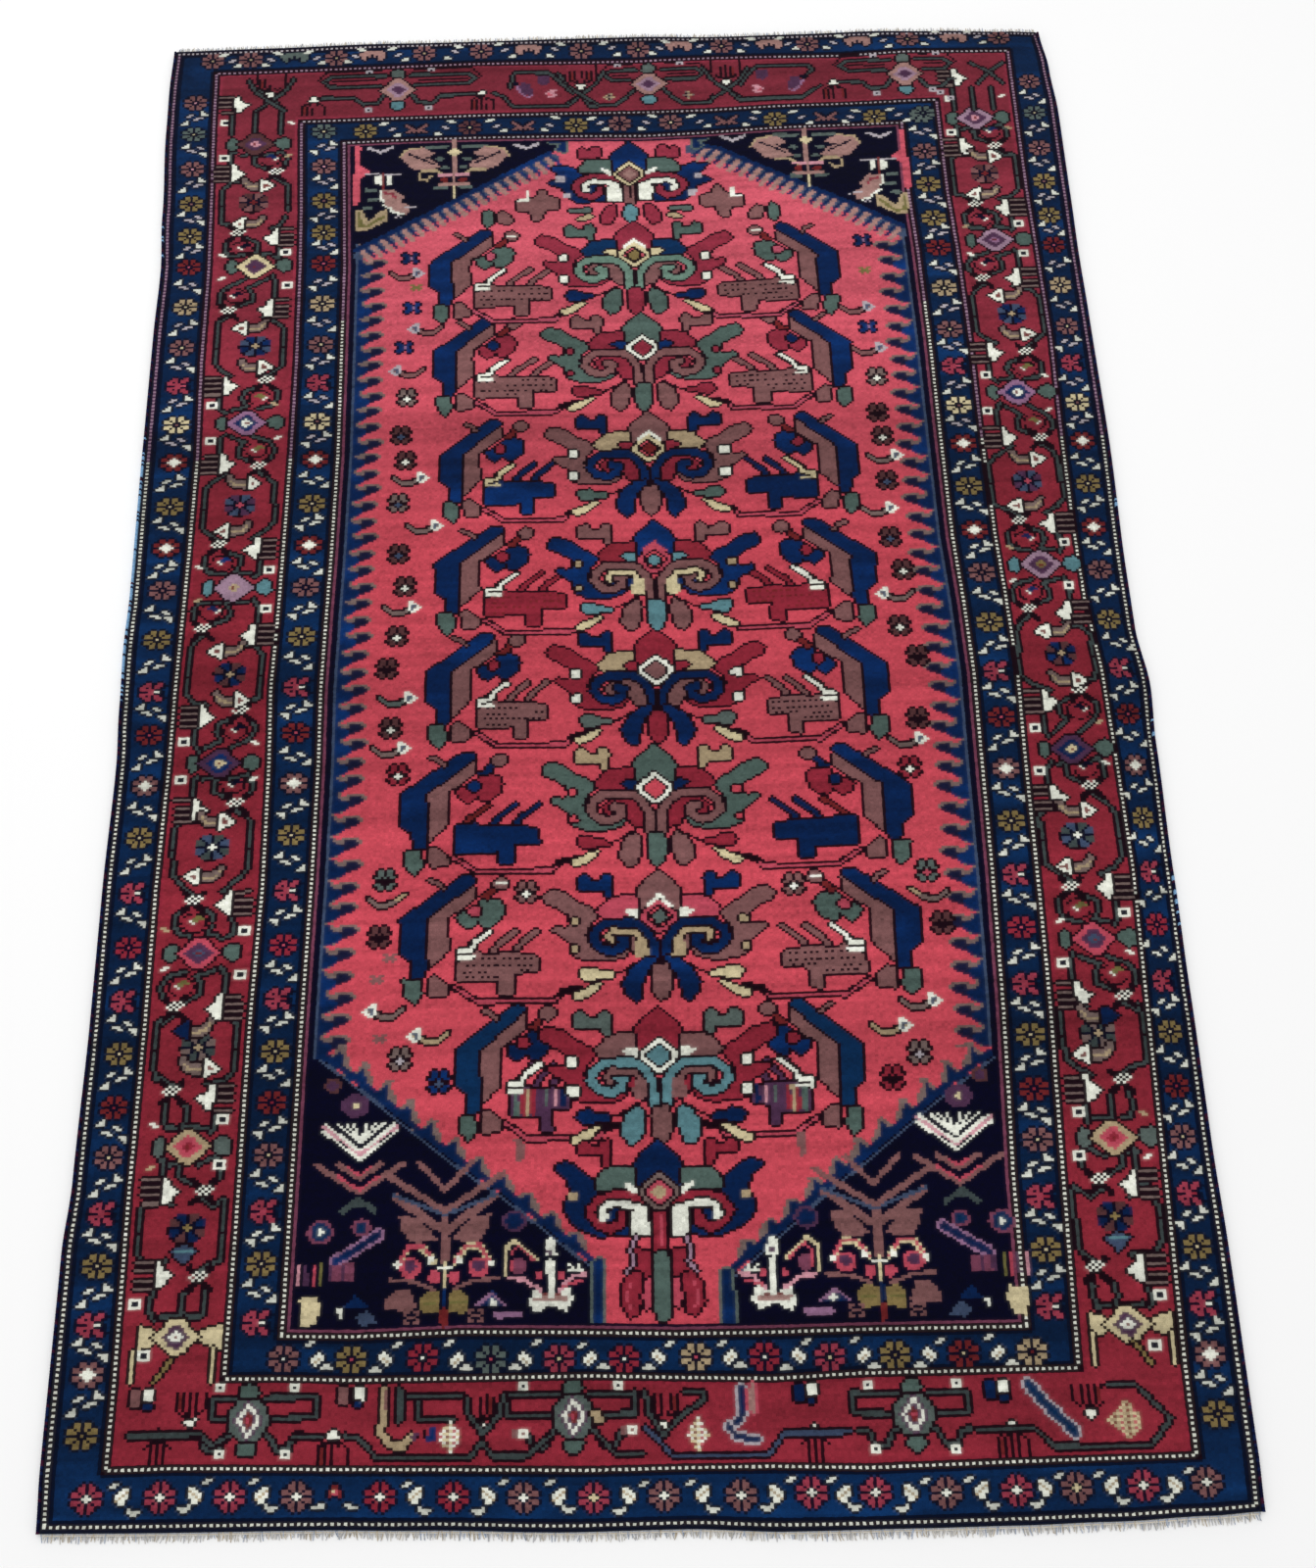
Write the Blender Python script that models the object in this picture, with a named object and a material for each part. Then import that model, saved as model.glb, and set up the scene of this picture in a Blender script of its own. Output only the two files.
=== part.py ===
# Hand-knotted wool rug lying flat on a floor, in metres, +Z up.
# The knotted body is one slab with the worn, slightly wavy outline of an old rug. Each long side has an
# overcast side cord of its own, and each end has a narrow woven web from which the cut warps stand out
# as a short fringe. X runs across the rug, Y from its foot to its head, and the origin is on the floor
# under the middle of the rug's outer box.

import math

import bpy

# Driving dimensions
RUG_WIDTH = 1.300
RUG_LENGTH = 2.000
PILE_HEIGHT = 0.008
PILE_SHOULDER = 0.0025
SIDE_CORD_WIDTH = 0.0045
SIDE_CORD_HEIGHT = 0.0068
WEB_DEPTH = 0.003
WEB_HEIGHT = 0.0024
FRINGE_LENGTH = 0.0075
FRINGE_PITCH = 0.0125
FRINGE_LOCK_WIDTH = 0.0035
GAP = 0.0003

# How finely the body is divided
CELLS_ACROSS = 26
CELLS_ALONG = 48

# The long sides: place along the rug, then how far each side stands outside its straight line
SIDE_STATIONS = (
    # along, left, right
    (0.00, 0.001, -0.001),
    (0.06, 0.003, 0.001),
    (0.28, 0.002, 0.003),
    (0.36, -0.003, 0.002),
    (0.55, -0.006, 0.004),
    (0.70, -0.006, 0.006),
    (0.86, -0.009, 0.009),
    (0.94, -0.006, 0.013),
    (1.02, -0.004, 0.005),
    (1.10, -0.006, 0.005),
    (1.30, -0.005, 0.009),
    (1.50, -0.005, 0.008),
    (1.60, -0.007, 0.007),
    (1.70, -0.002, 0.008),
    (1.85, 0.004, 0.009),
    (1.93, 0.005, 0.005),
    (2.00, 0.003, -0.002),
)

# The ends: place across the rug, then how far the pile stands outside its straight line
END_STATIONS = (
    # across, foot, head
    (0.00, -0.003, 0.000),
    (0.15, -0.002, 0.002),
    (0.30, -0.002, 0.005),
    (0.42, 0.000, 0.004),
    (0.58, 0.004, 0.005),
    (0.70, 0.003, 0.005),
    (0.81, 0.007, 0.001),
    (0.95, 0.006, 0.002),
    (1.05, 0.005, 0.004),
    (1.15, 0.003, 0.001),
    (1.25, -0.001, -0.004),
    (1.30, -0.004, -0.007),
)

# The body's slow swells: height, waves across, waves along, phase
SWELLS = (
    (0.0004, 1.5, 3.5, 0.4),
    (0.0003, 3.0, 2.0, 2.1),
    (0.0002, 4.5, 6.5, 1.2),
)


def between(stations, column, place):
    """The column's value at a place, eased from one station to the next."""
    place = min(max(place, stations[0][0]), stations[-1][0])
    for start, end in zip(stations, stations[1:]):
        if place <= end[0]:
            share = (place - start[0]) / (end[0] - start[0])
            share = share * share * (3 - 2 * share)
            return start[column] + (end[column] - start[column]) * share
    return stations[-1][column]


def left_side(along):
    return -between(SIDE_STATIONS, 1, along)


def right_side(along):
    return RUG_WIDTH + between(SIDE_STATIONS, 2, along)


def foot_edge(across):
    return -between(END_STATIONS, 1, across)


def head_edge(across):
    return RUG_LENGTH + between(END_STATIONS, 2, across)


def pile_height(across, along):
    """The height of the pile, which swells a little where the old foundation has stretched."""
    height = PILE_HEIGHT
    for size, waves_across, waves_along, phase in SWELLS:
        turn = waves_across * across / RUG_WIDTH + waves_along * along / RUG_LENGTH
        height += size * math.sin(2 * math.pi * turn + phase)
    return height


def middle_of_box():
    """The middle of the rug's outer box, measured from its nominal foot left corner."""
    steps = 400
    sides = [RUG_LENGTH * step / steps for step in range(steps + 1)]
    left = min(left_side(along) for along in sides)
    right = max(right_side(along) for along in sides)
    foot = min(y for _, y in fringe_outline(foot_edge, -1))
    head = max(y for _, y in fringe_outline(head_edge, 1))
    return (left + right) / 2, (foot + head) / 2


def body_column(share_across, along):
    """How far across the rug one of the body's columns of cells lies."""
    inset = SIDE_CORD_WIDTH + GAP
    first = left_side(along) + inset
    last = right_side(along) - inset
    return first + (last - first) * share_across


def fringe_outline(edge, outward):
    """The outline of an end web and its locks. It starts at the left of the edge that meets the pile, and
    outward is 1 at the head and -1 at the foot."""
    along = RUG_LENGTH if outward > 0 else 0.0
    first = body_column(0.0, along)
    last = body_column(1.0, along)
    locks = int((last - first) / FRINGE_PITCH)
    pitch = (last - first) / locks
    inner = []
    outer = []
    for column in range(CELLS_ACROSS + 1):
        across = body_column(column / CELLS_ACROSS, along)
        inner.append((across, edge(across) + outward * GAP))
    for lock in range(locks):
        middle = first + pitch * (lock + 0.5)
        root = edge(middle) + outward * (GAP + WEB_DEPTH)
        tip = root + outward * FRINGE_LENGTH * (0.72 + 0.28 * math.sin(2.4 * lock))
        lean = 0.0016 * math.sin(1.7 * lock + 0.6)
        half = FRINGE_LOCK_WIDTH / 2
        corner = first + pitch * lock
        outer.append((corner, edge(corner) + outward * (GAP + WEB_DEPTH)))
        outer.append((middle - half, root))
        outer.append((middle - half * 0.7 + lean, tip))
        outer.append((middle + half * 0.7 + lean, tip))
        outer.append((middle + half, root))
    outer.append((last, edge(last) + outward * (GAP + WEB_DEPTH)))
    return inner + outer[::-1]


def finish(name, vertices, faces, colour, roughness):
    """Makes the object, placed with the middle of the rug's box over the origin."""
    middle_x, middle_y = middle_of_box()
    mesh = bpy.data.meshes.new(name)
    mesh.from_pydata([(x - middle_x, y - middle_y, z) for x, y, z in vertices], [], faces)
    mesh.validate()
    piece = bpy.data.objects.new(name, mesh)
    bpy.context.scene.collection.objects.link(piece)
    material = bpy.data.materials.new(name)
    material.use_nodes = True
    shader = material.node_tree.nodes["Principled BSDF"]
    shader.inputs["Base Color"].default_value = (*colour, 1.0)
    shader.inputs["Roughness"].default_value = roughness
    mesh.materials.append(material)
    return piece


def make_body():
    """The knotted slab: a swelling top, a rounded shoulder and a flat underside."""

    def place(share_across, share_along, shrink):
        x = body_column(share_across, RUG_LENGTH * share_along)
        x += shrink * (1 - 2 * share_across)
        low_y = foot_edge(x) + shrink
        high_y = head_edge(x) - shrink
        return x, low_y + (high_y - low_y) * share_along

    rim = [(step, 0) for step in range(CELLS_ACROSS)]
    rim += [(CELLS_ACROSS, step) for step in range(CELLS_ALONG)]
    rim += [(CELLS_ACROSS - step, CELLS_ALONG) for step in range(CELLS_ACROSS)]
    rim += [(0, CELLS_ALONG - step) for step in range(CELLS_ALONG)]

    vertices = []
    for row in range(CELLS_ALONG + 1):
        for column in range(CELLS_ACROSS + 1):
            x, y = place(column / CELLS_ACROSS, row / CELLS_ALONG, PILE_SHOULDER)
            vertices.append((x, y, pile_height(x, y)))
    in_row = CELLS_ACROSS + 1
    top_rim = [row * in_row + column for column, row in rim]
    shoulder_rim = range(len(vertices), len(vertices) + len(rim))
    for column, row in rim:
        x, y = place(column / CELLS_ACROSS, row / CELLS_ALONG, 0.0)
        vertices.append((x, y, pile_height(x, y) - PILE_SHOULDER))
    floor_rim = range(len(vertices), len(vertices) + len(rim))
    for column, row in rim:
        x, y = place(column / CELLS_ACROSS, row / CELLS_ALONG, 0.0)
        vertices.append((x, y, 0.0))

    faces = []
    for row in range(CELLS_ALONG):
        for column in range(CELLS_ACROSS):
            corner = row * in_row + column
            faces.append((corner, corner + 1, corner + 1 + in_row, corner + in_row))
    for upper, lower in ((top_rim, shoulder_rim), (shoulder_rim, floor_rim)):
        for step in range(len(rim)):
            after = (step + 1) % len(rim)
            faces.append((upper[step], lower[step], lower[after], upper[after]))
    faces.append(tuple(floor_rim)[::-1])
    return finish("rug_body", vertices, faces, (0.42, 0.07, 0.08), 0.95)


def make_side_cord(name, side, inward):
    """An overcast side cord: a rounded strip with a flat underside, whose inner face meets the body."""
    width = SIDE_CORD_WIDTH
    height = SIDE_CORD_HEIGHT
    section = (
        # how far in from the outer side, height
        (width * 0.20, 0.0),
        (0.0, height * 0.30),
        (0.0, height * 0.62),
        (width * 0.22, height * 0.92),
        (width * 0.55, height),
        (width * 0.88, height * 0.94),
        (width, height * 0.70),
        (width, 0.0),
    )
    vertices = []
    for step in range(CELLS_ALONG + 1):
        share = step / CELLS_ALONG
        outer = side(RUG_LENGTH * share)
        across = outer + inward * width
        along = foot_edge(across) + (head_edge(across) - foot_edge(across)) * share
        for depth, rise in section:
            vertices.append((outer + inward * depth, along, rise))
    sides = len(section)
    faces = []
    for step in range(CELLS_ALONG):
        for corner in range(sides):
            after = (corner + 1) % sides
            near, far = step * sides, (step + 1) * sides
            faces.append((near + corner, near + after, far + after, far + corner))
    faces.append(tuple(range(sides))[::-1])
    faces.append(tuple(range(CELLS_ALONG * sides, (CELLS_ALONG + 1) * sides)))
    if inward < 0:
        faces = [face[::-1] for face in faces]
    return finish(name, vertices, faces, (0.012, 0.016, 0.05), 0.9)


def make_fringe(name, edge, outward):
    """An end web and its locks of cut warps, one flat prism that rests on the floor."""
    outline = fringe_outline(edge, outward)
    vertices = [(x, y, 0.0) for x, y in outline] + [(x, y, WEB_HEIGHT) for x, y in outline]
    count = len(outline)
    faces = [tuple(range(count))[::-1], tuple(range(count, 2 * count))]
    for step in range(count):
        after = (step + 1) % count
        faces.append((step, after, count + after, count + step))
    if outward < 0:
        faces = [face[::-1] for face in faces]
    return finish(name, vertices, faces, (0.62, 0.55, 0.44), 0.95)


def main():
    for old in list(bpy.data.objects):
        bpy.data.objects.remove(old)
    make_body()
    make_side_cord("selvedge_left", left_side, 1)
    make_side_cord("selvedge_right", right_side, -1)
    make_fringe("fringe_foot", foot_edge, -1)
    make_fringe("fringe_head", head_edge, 1)


main()
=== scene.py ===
import math

import bpy
import numpy as np
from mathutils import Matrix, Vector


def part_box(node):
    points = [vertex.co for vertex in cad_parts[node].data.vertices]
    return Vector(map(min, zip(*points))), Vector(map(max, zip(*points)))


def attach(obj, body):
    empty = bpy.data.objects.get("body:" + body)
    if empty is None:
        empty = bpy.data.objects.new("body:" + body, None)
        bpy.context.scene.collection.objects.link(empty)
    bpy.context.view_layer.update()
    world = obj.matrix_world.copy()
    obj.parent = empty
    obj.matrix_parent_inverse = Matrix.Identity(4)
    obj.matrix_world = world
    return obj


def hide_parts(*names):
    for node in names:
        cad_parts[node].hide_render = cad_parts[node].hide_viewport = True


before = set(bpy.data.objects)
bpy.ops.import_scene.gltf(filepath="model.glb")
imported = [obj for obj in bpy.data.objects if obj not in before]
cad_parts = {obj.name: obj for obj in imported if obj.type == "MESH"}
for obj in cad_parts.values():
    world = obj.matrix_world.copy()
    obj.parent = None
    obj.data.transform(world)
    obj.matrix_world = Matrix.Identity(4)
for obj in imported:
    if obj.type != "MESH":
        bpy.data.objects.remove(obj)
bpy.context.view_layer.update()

# Hand-knotted wool rug lying flat on a pale floor. Lengths are in metres, apart from those of the pattern,
# which is charted in millimetres across (x) and along (y) the rug from its nominal foot left corner, and
# is tied knot by knot, as a weaver does.

MM = 0.001

# The rug's outline, as its solids have it
RUG_WIDTH = 1.300
RUG_LENGTH = 2.000
PILE_HEIGHT = 0.008
PILE_SHOULDER = 0.0025
SIDE_CORD_WIDTH = 0.0045
SIDE_CORD_HEIGHT = 0.0068
WEB_DEPTH = 0.003
FRINGE_LENGTH = 0.0075
GAP = 0.0003
SIDE_STATIONS = (
    # along, left, right
    (0.00, 0.001, -0.001),
    (0.06, 0.003, 0.001),
    (0.28, 0.002, 0.003),
    (0.36, -0.003, 0.002),
    (0.55, -0.006, 0.004),
    (0.70, -0.006, 0.006),
    (0.86, -0.009, 0.009),
    (0.94, -0.006, 0.013),
    (1.02, -0.004, 0.005),
    (1.10, -0.006, 0.005),
    (1.30, -0.005, 0.009),
    (1.50, -0.005, 0.008),
    (1.60, -0.007, 0.007),
    (1.70, -0.002, 0.008),
    (1.85, 0.004, 0.009),
    (1.93, 0.005, 0.005),
    (2.00, 0.003, -0.002),
)
END_STATIONS = (
    # across, foot, head
    (0.00, -0.003, 0.000),
    (0.15, -0.002, 0.002),
    (0.30, -0.002, 0.005),
    (0.42, 0.000, 0.004),
    (0.58, 0.004, 0.005),
    (0.70, 0.003, 0.005),
    (0.81, 0.007, 0.001),
    (0.95, 0.006, 0.002),
    (1.05, 0.005, 0.004),
    (1.15, 0.003, 0.001),
    (1.25, -0.001, -0.004),
    (1.30, -0.004, -0.007),
)
SWELLS = (
    # height, waves across, waves along, phase
    (0.0004, 1.5, 3.5, 0.4),
    (0.0003, 3.0, 2.0, 2.1),
    (0.0002, 4.5, 6.5, 1.2),
)

# The knots, and the columns and rows that the dotted lines between the borders are tied in
KNOTS_ACROSS = 364
KNOTS_ALONG = 714
LINE_COLUMNS = (1, 18, 52, 69, 299, 314, 346, 362)
LINE_ROWS = (2, 22, 53, 68, 650, 665, 698, 711)

# Where those lines run, because an old rug's borders waver: in millimetres
LENGTHWISE_LINES = (
    # along, outer, inner and field line on the left, then field, inner and outer line on the right
    (0, 69, 190, 251, 1068, 1120, 1233),
    (150, 71, 191, 251, 1068, 1120, 1235),
    (350, 70, 195, 255, 1072, 1128, 1243),
    (540, 73, 197, 258, 1082, 1137, 1250),
    (700, 73, 203, 262, 1087, 1141, 1257),
    (860, 77, 202, 264, 1090, 1144, 1255),
    (960, 77, 199, 263, 1092, 1147, 1253),
    (1060, 79, 203, 266, 1089, 1144, 1244),
    (1150, 81, 205, 269, 1084, 1140, 1243),
    (1300, 82, 208, 272, 1083, 1138, 1245),
    (1450, 77, 209, 271, 1083, 1139, 1249),
    (1600, 77, 207, 270, 1080, 1136, 1247),
    (1700, 74, 204, 266, 1076, 1132, 1245),
    (1850, 68, 197, 260, 1078, 1132, 1246),
    (2000, 64, 196, 258, 1078, 1132, 1247),
)
CROSSWISE_LINES = (
    # across, outer, inner and field line at the foot, then field, inner and outer line at the head
    (0, 62, 153, 195, 1820, 1859, 1953),
    (150, 64, 152, 195, 1820, 1860, 1955),
    (260, 62, 151, 194, 1820, 1861, 1957),
    (340, 60, 148, 192, 1822, 1862, 1958),
    (460, 58, 148, 195, 1823, 1863, 1959),
    (600, 55, 148, 192, 1821, 1862, 1957),
    (700, 56, 145, 189, 1818, 1861, 1956),
    (800, 56, 142, 189, 1821, 1861, 1958),
    (900, 53, 146, 190, 1826, 1865, 1958),
    (1000, 55, 146, 190, 1828, 1867, 1957),
    (1100, 57, 147, 190, 1831, 1870, 1962),
    (1300, 60, 147, 190, 1831, 1870, 1956),
)

# The dyed wools, as red, green and blue on a screen
YARNS = {
    "dark": (22, 2, 14),
    "night": (0, 0, 28),
    "coral": (202, 74, 88),
    "madder": (141, 40, 54),
    "wine": (140, 38, 54),
    "rose": (184, 72, 90),
    "rust": (112, 34, 36),
    "blue": (3, 32, 76),
    "guard": (4, 31, 65),
    "teal": (90, 132, 140),
    "sea": (6, 42, 80),
    "green": (78, 97, 91),
    "lichen": (86, 98, 94),
    "taupe": (116, 98, 94),
    "brown": (124, 84, 84),
    "cocoa": (84, 50, 52),
    "beige": (172, 152, 120),
    "gold": (130, 112, 70),
    "olive": (110, 105, 60),
    "cream": (210, 196, 156),
    "ivory": (238, 240, 226),
    "pink": (206, 146, 158),
    "lilac": (146, 106, 138),
    "plum": (76, 46, 74),
    "slate": (60, 74, 100),
    "ash": (176, 168, 174),
    "mauve": (158, 128, 148),
    "smoke": (60, 70, 70),
    "fawn": (160, 122, 116),
    "mulberry": (118, 62, 84),
    "navy": (1, 12, 36),
    "claret": (152, 56, 74),
    "chalk": (214, 216, 204),
    "ink": (20, 22, 52),
    "sage": (106, 134, 120),
}
CODES = {name: code for code, name in enumerate(YARNS)}
SEED = 7


def between(stations, column, place):
    """The column's value at each place, eased from one station to the next."""
    table = np.array(stations)
    place = np.clip(place, table[0, 0], table[-1, 0])
    first = np.clip(np.searchsorted(table[:, 0], place, "right") - 1, 0, len(table) - 2)
    share = (place - table[first, 0]) / (table[first + 1, 0] - table[first, 0])
    share = share * share * (3 - 2 * share)
    return table[first, column] + (table[first + 1, column] - table[first, column]) * share


def left_side(along):
    return -between(SIDE_STATIONS, 1, along)


def right_side(along):
    return RUG_WIDTH + between(SIDE_STATIONS, 2, along)


def foot_edge(across):
    return -between(END_STATIONS, 1, across)


def head_edge(across):
    return RUG_LENGTH + between(END_STATIONS, 2, across)


def pile_height(across, along):
    height = np.full(np.shape(across), PILE_HEIGHT)
    for size, waves_across, waves_along, phase in SWELLS:
        turn = waves_across * across / RUG_WIDTH + waves_along * along / RUG_LENGTH
        height += size * np.sin(2 * np.pi * turn + phase)
    return height


def knot_corners():
    """Where the corners of the knots lie, across and along, in metres: the rows and columns follow the
    wavering lines, and the outermost ones the rug's outline."""
    inset = SIDE_CORD_WIDTH + GAP
    columns = np.array([0, *(c + 0.5 for c in LINE_COLUMNS[1:-1]), KNOTS_ACROSS])
    rows = np.array([0, *(r + 0.5 for r in LINE_ROWS[1:-1]), KNOTS_ALONG])
    lengthwise = np.array(LENGTHWISE_LINES, float) * MM
    crosswise = np.array(CROSSWISE_LINES, float) * MM
    along = np.repeat(np.linspace(0, RUG_LENGTH, KNOTS_ALONG + 1)[:, None], KNOTS_ACROSS + 1, 1)
    for _ in range(2):
        middle = along.mean(1)
        lines = [left_side(middle) + inset]
        lines += [np.interp(middle, lengthwise[:, 0], lengthwise[:, k]) for k in range(1, 7)]
        lines.append(right_side(middle) - inset)
        lines = np.array(lines)
        steps = np.arange(KNOTS_ACROSS + 1)
        across = np.array([np.interp(steps, columns, lines[:, row]) for row in range(KNOTS_ALONG + 1)])
        middle = across.mean(0)
        lines = [foot_edge(middle)]
        lines += [np.interp(middle, crosswise[:, 0], crosswise[:, k]) for k in range(1, 7)]
        lines.append(head_edge(middle))
        lines = np.array(lines)
        steps = np.arange(KNOTS_ALONG + 1)
        along = np.array([np.interp(steps, rows, lines[:, c]) for c in range(KNOTS_ACROSS + 1)]).T
    return across, along


def grown(inside):
    """The knots of a shape and those beside them."""
    wide = inside.copy()
    wide[1:] |= inside[:-1]
    wide[:-1] |= inside[1:]
    wide[:, 1:] |= inside[:, :-1]
    wide[:, :-1] |= inside[:, 1:]
    return wide


class Chart:
    """The knots' yarns, with a place across and along for each knot, in millimetres."""

    SPARE = 34

    def __init__(self, across, along, yarns):
        self.across = across
        self.along = along
        self.yarns = yarns

    def window(self, points):
        """The rows and columns that a shape can reach."""
        x, y = np.array(points, float).T
        columns = self.across[len(self.across) // 2]
        rows = self.along[:, self.along.shape[1] // 2]
        left, right = np.searchsorted(columns, (x.min() - self.SPARE, x.max() + self.SPARE))
        low, high = np.searchsorted(rows, (y.min() - self.SPARE, y.max() + self.SPARE))
        return slice(low, high), slice(left, right)

    def tie(self, window, inside, yarn, edge=None):
        patch = self.yarns[window]
        if edge:
            patch[grown(inside) & ~inside] = CODES[edge]
        patch[inside] = CODES[yarn]

    def area(self, points, yarn, edge=None):
        """A flat shape with straight sides."""
        window = self.window(points)
        x, y = self.across[window], self.along[window]
        inside = np.zeros(x.shape, bool)
        for (x0, y0), (x1, y1) in zip(points, points[1:] + points[:1]):
            if y0 != y1:
                crossed = (y0 > y) != (y1 > y)
                inside ^= crossed & (x < (x1 - x0) * (y - y0) / (y1 - y0) + x0)
        self.tie(window, inside, yarn, edge)

    def band(self, points, width, yarn, edge=None):
        """A line of the given width through the points."""
        window = self.window(points)
        x, y = self.across[window], self.along[window]
        inside = np.zeros(x.shape, bool)
        for (x0, y0), (x1, y1) in zip(points, points[1:]):
            length = max((x1 - x0) ** 2 + (y1 - y0) ** 2, 1e-6)
            share = np.clip(((x - x0) * (x1 - x0) + (y - y0) * (y1 - y0)) / length, 0, 1)
            inside |= np.hypot(x - x0 - share * (x1 - x0), y - y0 - share * (y1 - y0)) < width / 2
        self.tie(window, inside, yarn, edge)

    def disc(self, at, radius, yarn, edge=None, tall=1.0):
        window = self.window([at])
        x, y = self.across[window] - at[0], self.along[window] - at[1]
        self.tie(window, np.hypot(x, y / tall) < radius, yarn, edge)

    def stitches(self, at, motif, yarns, flip=1):
        """A small motif charted knot by knot, its top row first; a dot leaves the ground."""
        x, y = self.across, self.along
        row = int(np.searchsorted(y[:, y.shape[1] // 2], at[1]))
        column = int(np.searchsorted(x[min(row, len(x) - 1)], at[0]))
        row = int(np.searchsorted(y[:, min(column, y.shape[1] - 1)], at[1]))
        for down, line in enumerate(motif):
            for over, mark in enumerate(line[::flip]):
                place = row + len(motif) // 2 - down, column + over - len(line) // 2
                if mark != "." and 0 <= place[0] < KNOTS_ALONG and 0 <= place[1] < KNOTS_ACROSS:
                    self.yarns[place] = CODES[yarns[mark]]


def put(points, at, flip=1, scale=1.0):
    """A motif's points, moved to their place, and turned over sideways where flip is -1."""
    return [(at[0] + flip * scale * x, at[1] + scale * y) for x, y in points]


def read_rows(text):
    """A table written as words and numbers, with a comma after each row but the last."""
    return [
        tuple(word if word.isalpha() else float(word) if "." in word else int(word) for word in row.split())
        for row in text.split(",")
    ]


# The kinds of mark that a figure is drawn with, and how many sizes each has: a band its width, a disc its
# radius, an oval its radius across and its height as a share of its width, and a box half its two sides
MARK_SIZES = {"area": 0, "whole": 0, "vine": 0, "band": 1, "disc": 1, "oval": 2, "box": 2}
VINE_WIDTH = 3.7


def draw(chart, figure, at=(0, 0), flip=1, rise=1, wide=1.0, scale=1.0, **parts):
    """Ties a figure, which is written as its marks: each has its kind, its sizes, its yarn or its part of
    the figure, a slash and its edge's yarn if it has an edge, and its points. The figure is turned over
    sideways where flip is -1 and upright where rise is -1. A whole is an area given by its right half, and
    a vine is a thin grey-green stem between two dark ones."""
    marks = []
    for word in figure.split():
        if word in MARK_SIZES:
            marks.append([word])
        else:
            marks[-1].append(word)
    for kind, *words in marks:
        sizes = [float(words.pop(0)) for _ in range(MARK_SIZES[kind])]
        yarn, _, edge = ("smoke/dark" if kind == "vine" else words.pop(0)).partition("/")
        yarn, edge = parts.get(yarn, yarn), parts.get(edge, edge) or None
        own = [(float(x) * wide, rise * float(y)) for x, y in (word.split(",") for word in words)]
        points = put(own, at, flip, scale)
        if kind == "whole":
            points += put(own[::-1], at, -flip, scale)
        if kind in ("area", "whole"):
            chart.area(points, yarn, edge)
        elif kind in ("band", "vine"):
            chart.band(points, *(sizes or [VINE_WIDTH]), yarn, edge)
        elif kind == "box":
            half_wide, half_tall = sizes
            for x, y in points:
                left, right, low, high = x - half_wide, x + half_wide, y - half_tall, y + half_tall
                chart.area([(left, low), (right, low), (right, high), (left, high)], yarn, edge)
        else:
            chart.disc(points[0], sizes[0], yarn, edge, *sizes[1:])


# Small motifs, charted knot by knot
ROSETTE = (
    "..PP.PP..",
    ".oPPoPPo.",
    "PPoPoPoPP",
    "PPPoooPPP",
    ".oooHooo.",
    "PPPoooPPP",
    "PPoPoPoPP",
    ".oPPoPPo.",
    "..PP.PP..",
)
OPEN_ROSETTE = (
    "..PP..PP.",
    ".PPPoPPPo",
    "PPoPoPPo.",
    "PPPPPoo..",
    "oooPPHHo.",
    "PPPPPooo.",
    "PPoPoPPo.",
    ".PPPoPPPo",
    "..PP..PP.",
)
BRIGHT_ROSETTE = (
    "..PP.PP..",
    ".oPPPPPo.",
    "PPoPHPoPP",
    "PPPHHHPPP",
    "ooHHHHHoo",
    "PPPHHHPPP",
    "PPoPHPoPP",
    ".oPPPPPo.",
    "..PP.PP..",
)
WIDE_ROSETTE = (
    "..PPP.QQQ..",
    ".oPPPoQQQo.",
    "QQoPPoQQoPP",
    "QQQoPoQoPPP",
    "QQQooHooPPP",
    "ooooHHHoooo",
    "PPPooHooQQQ",
    "PPPoQoPoQQQ",
    "PPoQQoPPoQQ",
    ".oQQQoPPPo.",
    "..QQQ.PPP..",
)
TALL_ROSETTE = (
    "...P.P...",
    "..PPoPP..",
    ".oPPoPPo.",
    "PPoPoPoPP",
    "PPPoHoPPP",
    ".ooHHHoo.",
    "PPPoHoPPP",
    "PPoPoPoPP",
    ".oPPoPPo.",
    "..PPoPP..",
    "...P.P...",
)
FAN = (
    "..PPPPPPPP.",
    "PPPPPPPPPPP",
    "PPPPPoPPPPP",
    ".PPoPoPoPPP",
    ".PPo...oPPP",
    "..P.....PP.",
)
CUP = (
    "P.......P",
    "PPo...oPP",
    ".PPo.oPP.",
    "..PPoPP..",
    ".PPPPPPP.",
    "PPoPoPoPP",
    "....o....",
)
SPRIG = (
    "..oo.oo..",
    ".oPPoPPo.",
    ".oPPoPPo.",
    "ooPPoPPoo",
    "oPPoPoPPo",
    ".oooHooo.",
    ".ooHHHoo.",
    "oPPoHoPPo",
    "ooPPoPPoo",
    ".oPPoPPo.",
    "..oo.oo..",
)
CLOVER = (
    ".oo..oo.",
    "oPPo.PPo",
    "oPPPoPPo",
    ".oPPHPo.",
    ".oPPHPo.",
    "oPPPoPPo",
    "oPPo.PPo",
    ".oo..oo.",
)
COMMA_BIRD = (
    "..........ww...",
    "oo........www..",
    "oto.......wnnw.",
    "otto....oowntww",
    ".ottoooootwnww.",
    "..otttttttoww..",
    "...otttttoo....",
    "....ooooo......",
)
COMMA = (
    "............ooo",
    "oo.........occo",
    "oto.......occo.",
    "otto...ooocco..",
    ".ottoooottto...",
    "..ottttttto....",
    "...ottttoo.....",
    "....oooo.......",
)
TOOTH = (
    "bt..tttttt..",
    "bttttnnnntt.",
    "bbtttnnnnnt.",
    "bbbbnnnnnn..",
    "bbbbbnnnn...",
    "bbbbbnn.....",
    "bbbbb.......",
    "bbbb........",
    "bbt.........",
)
TREFOIL = ("..w", ".ww", "www")
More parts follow.
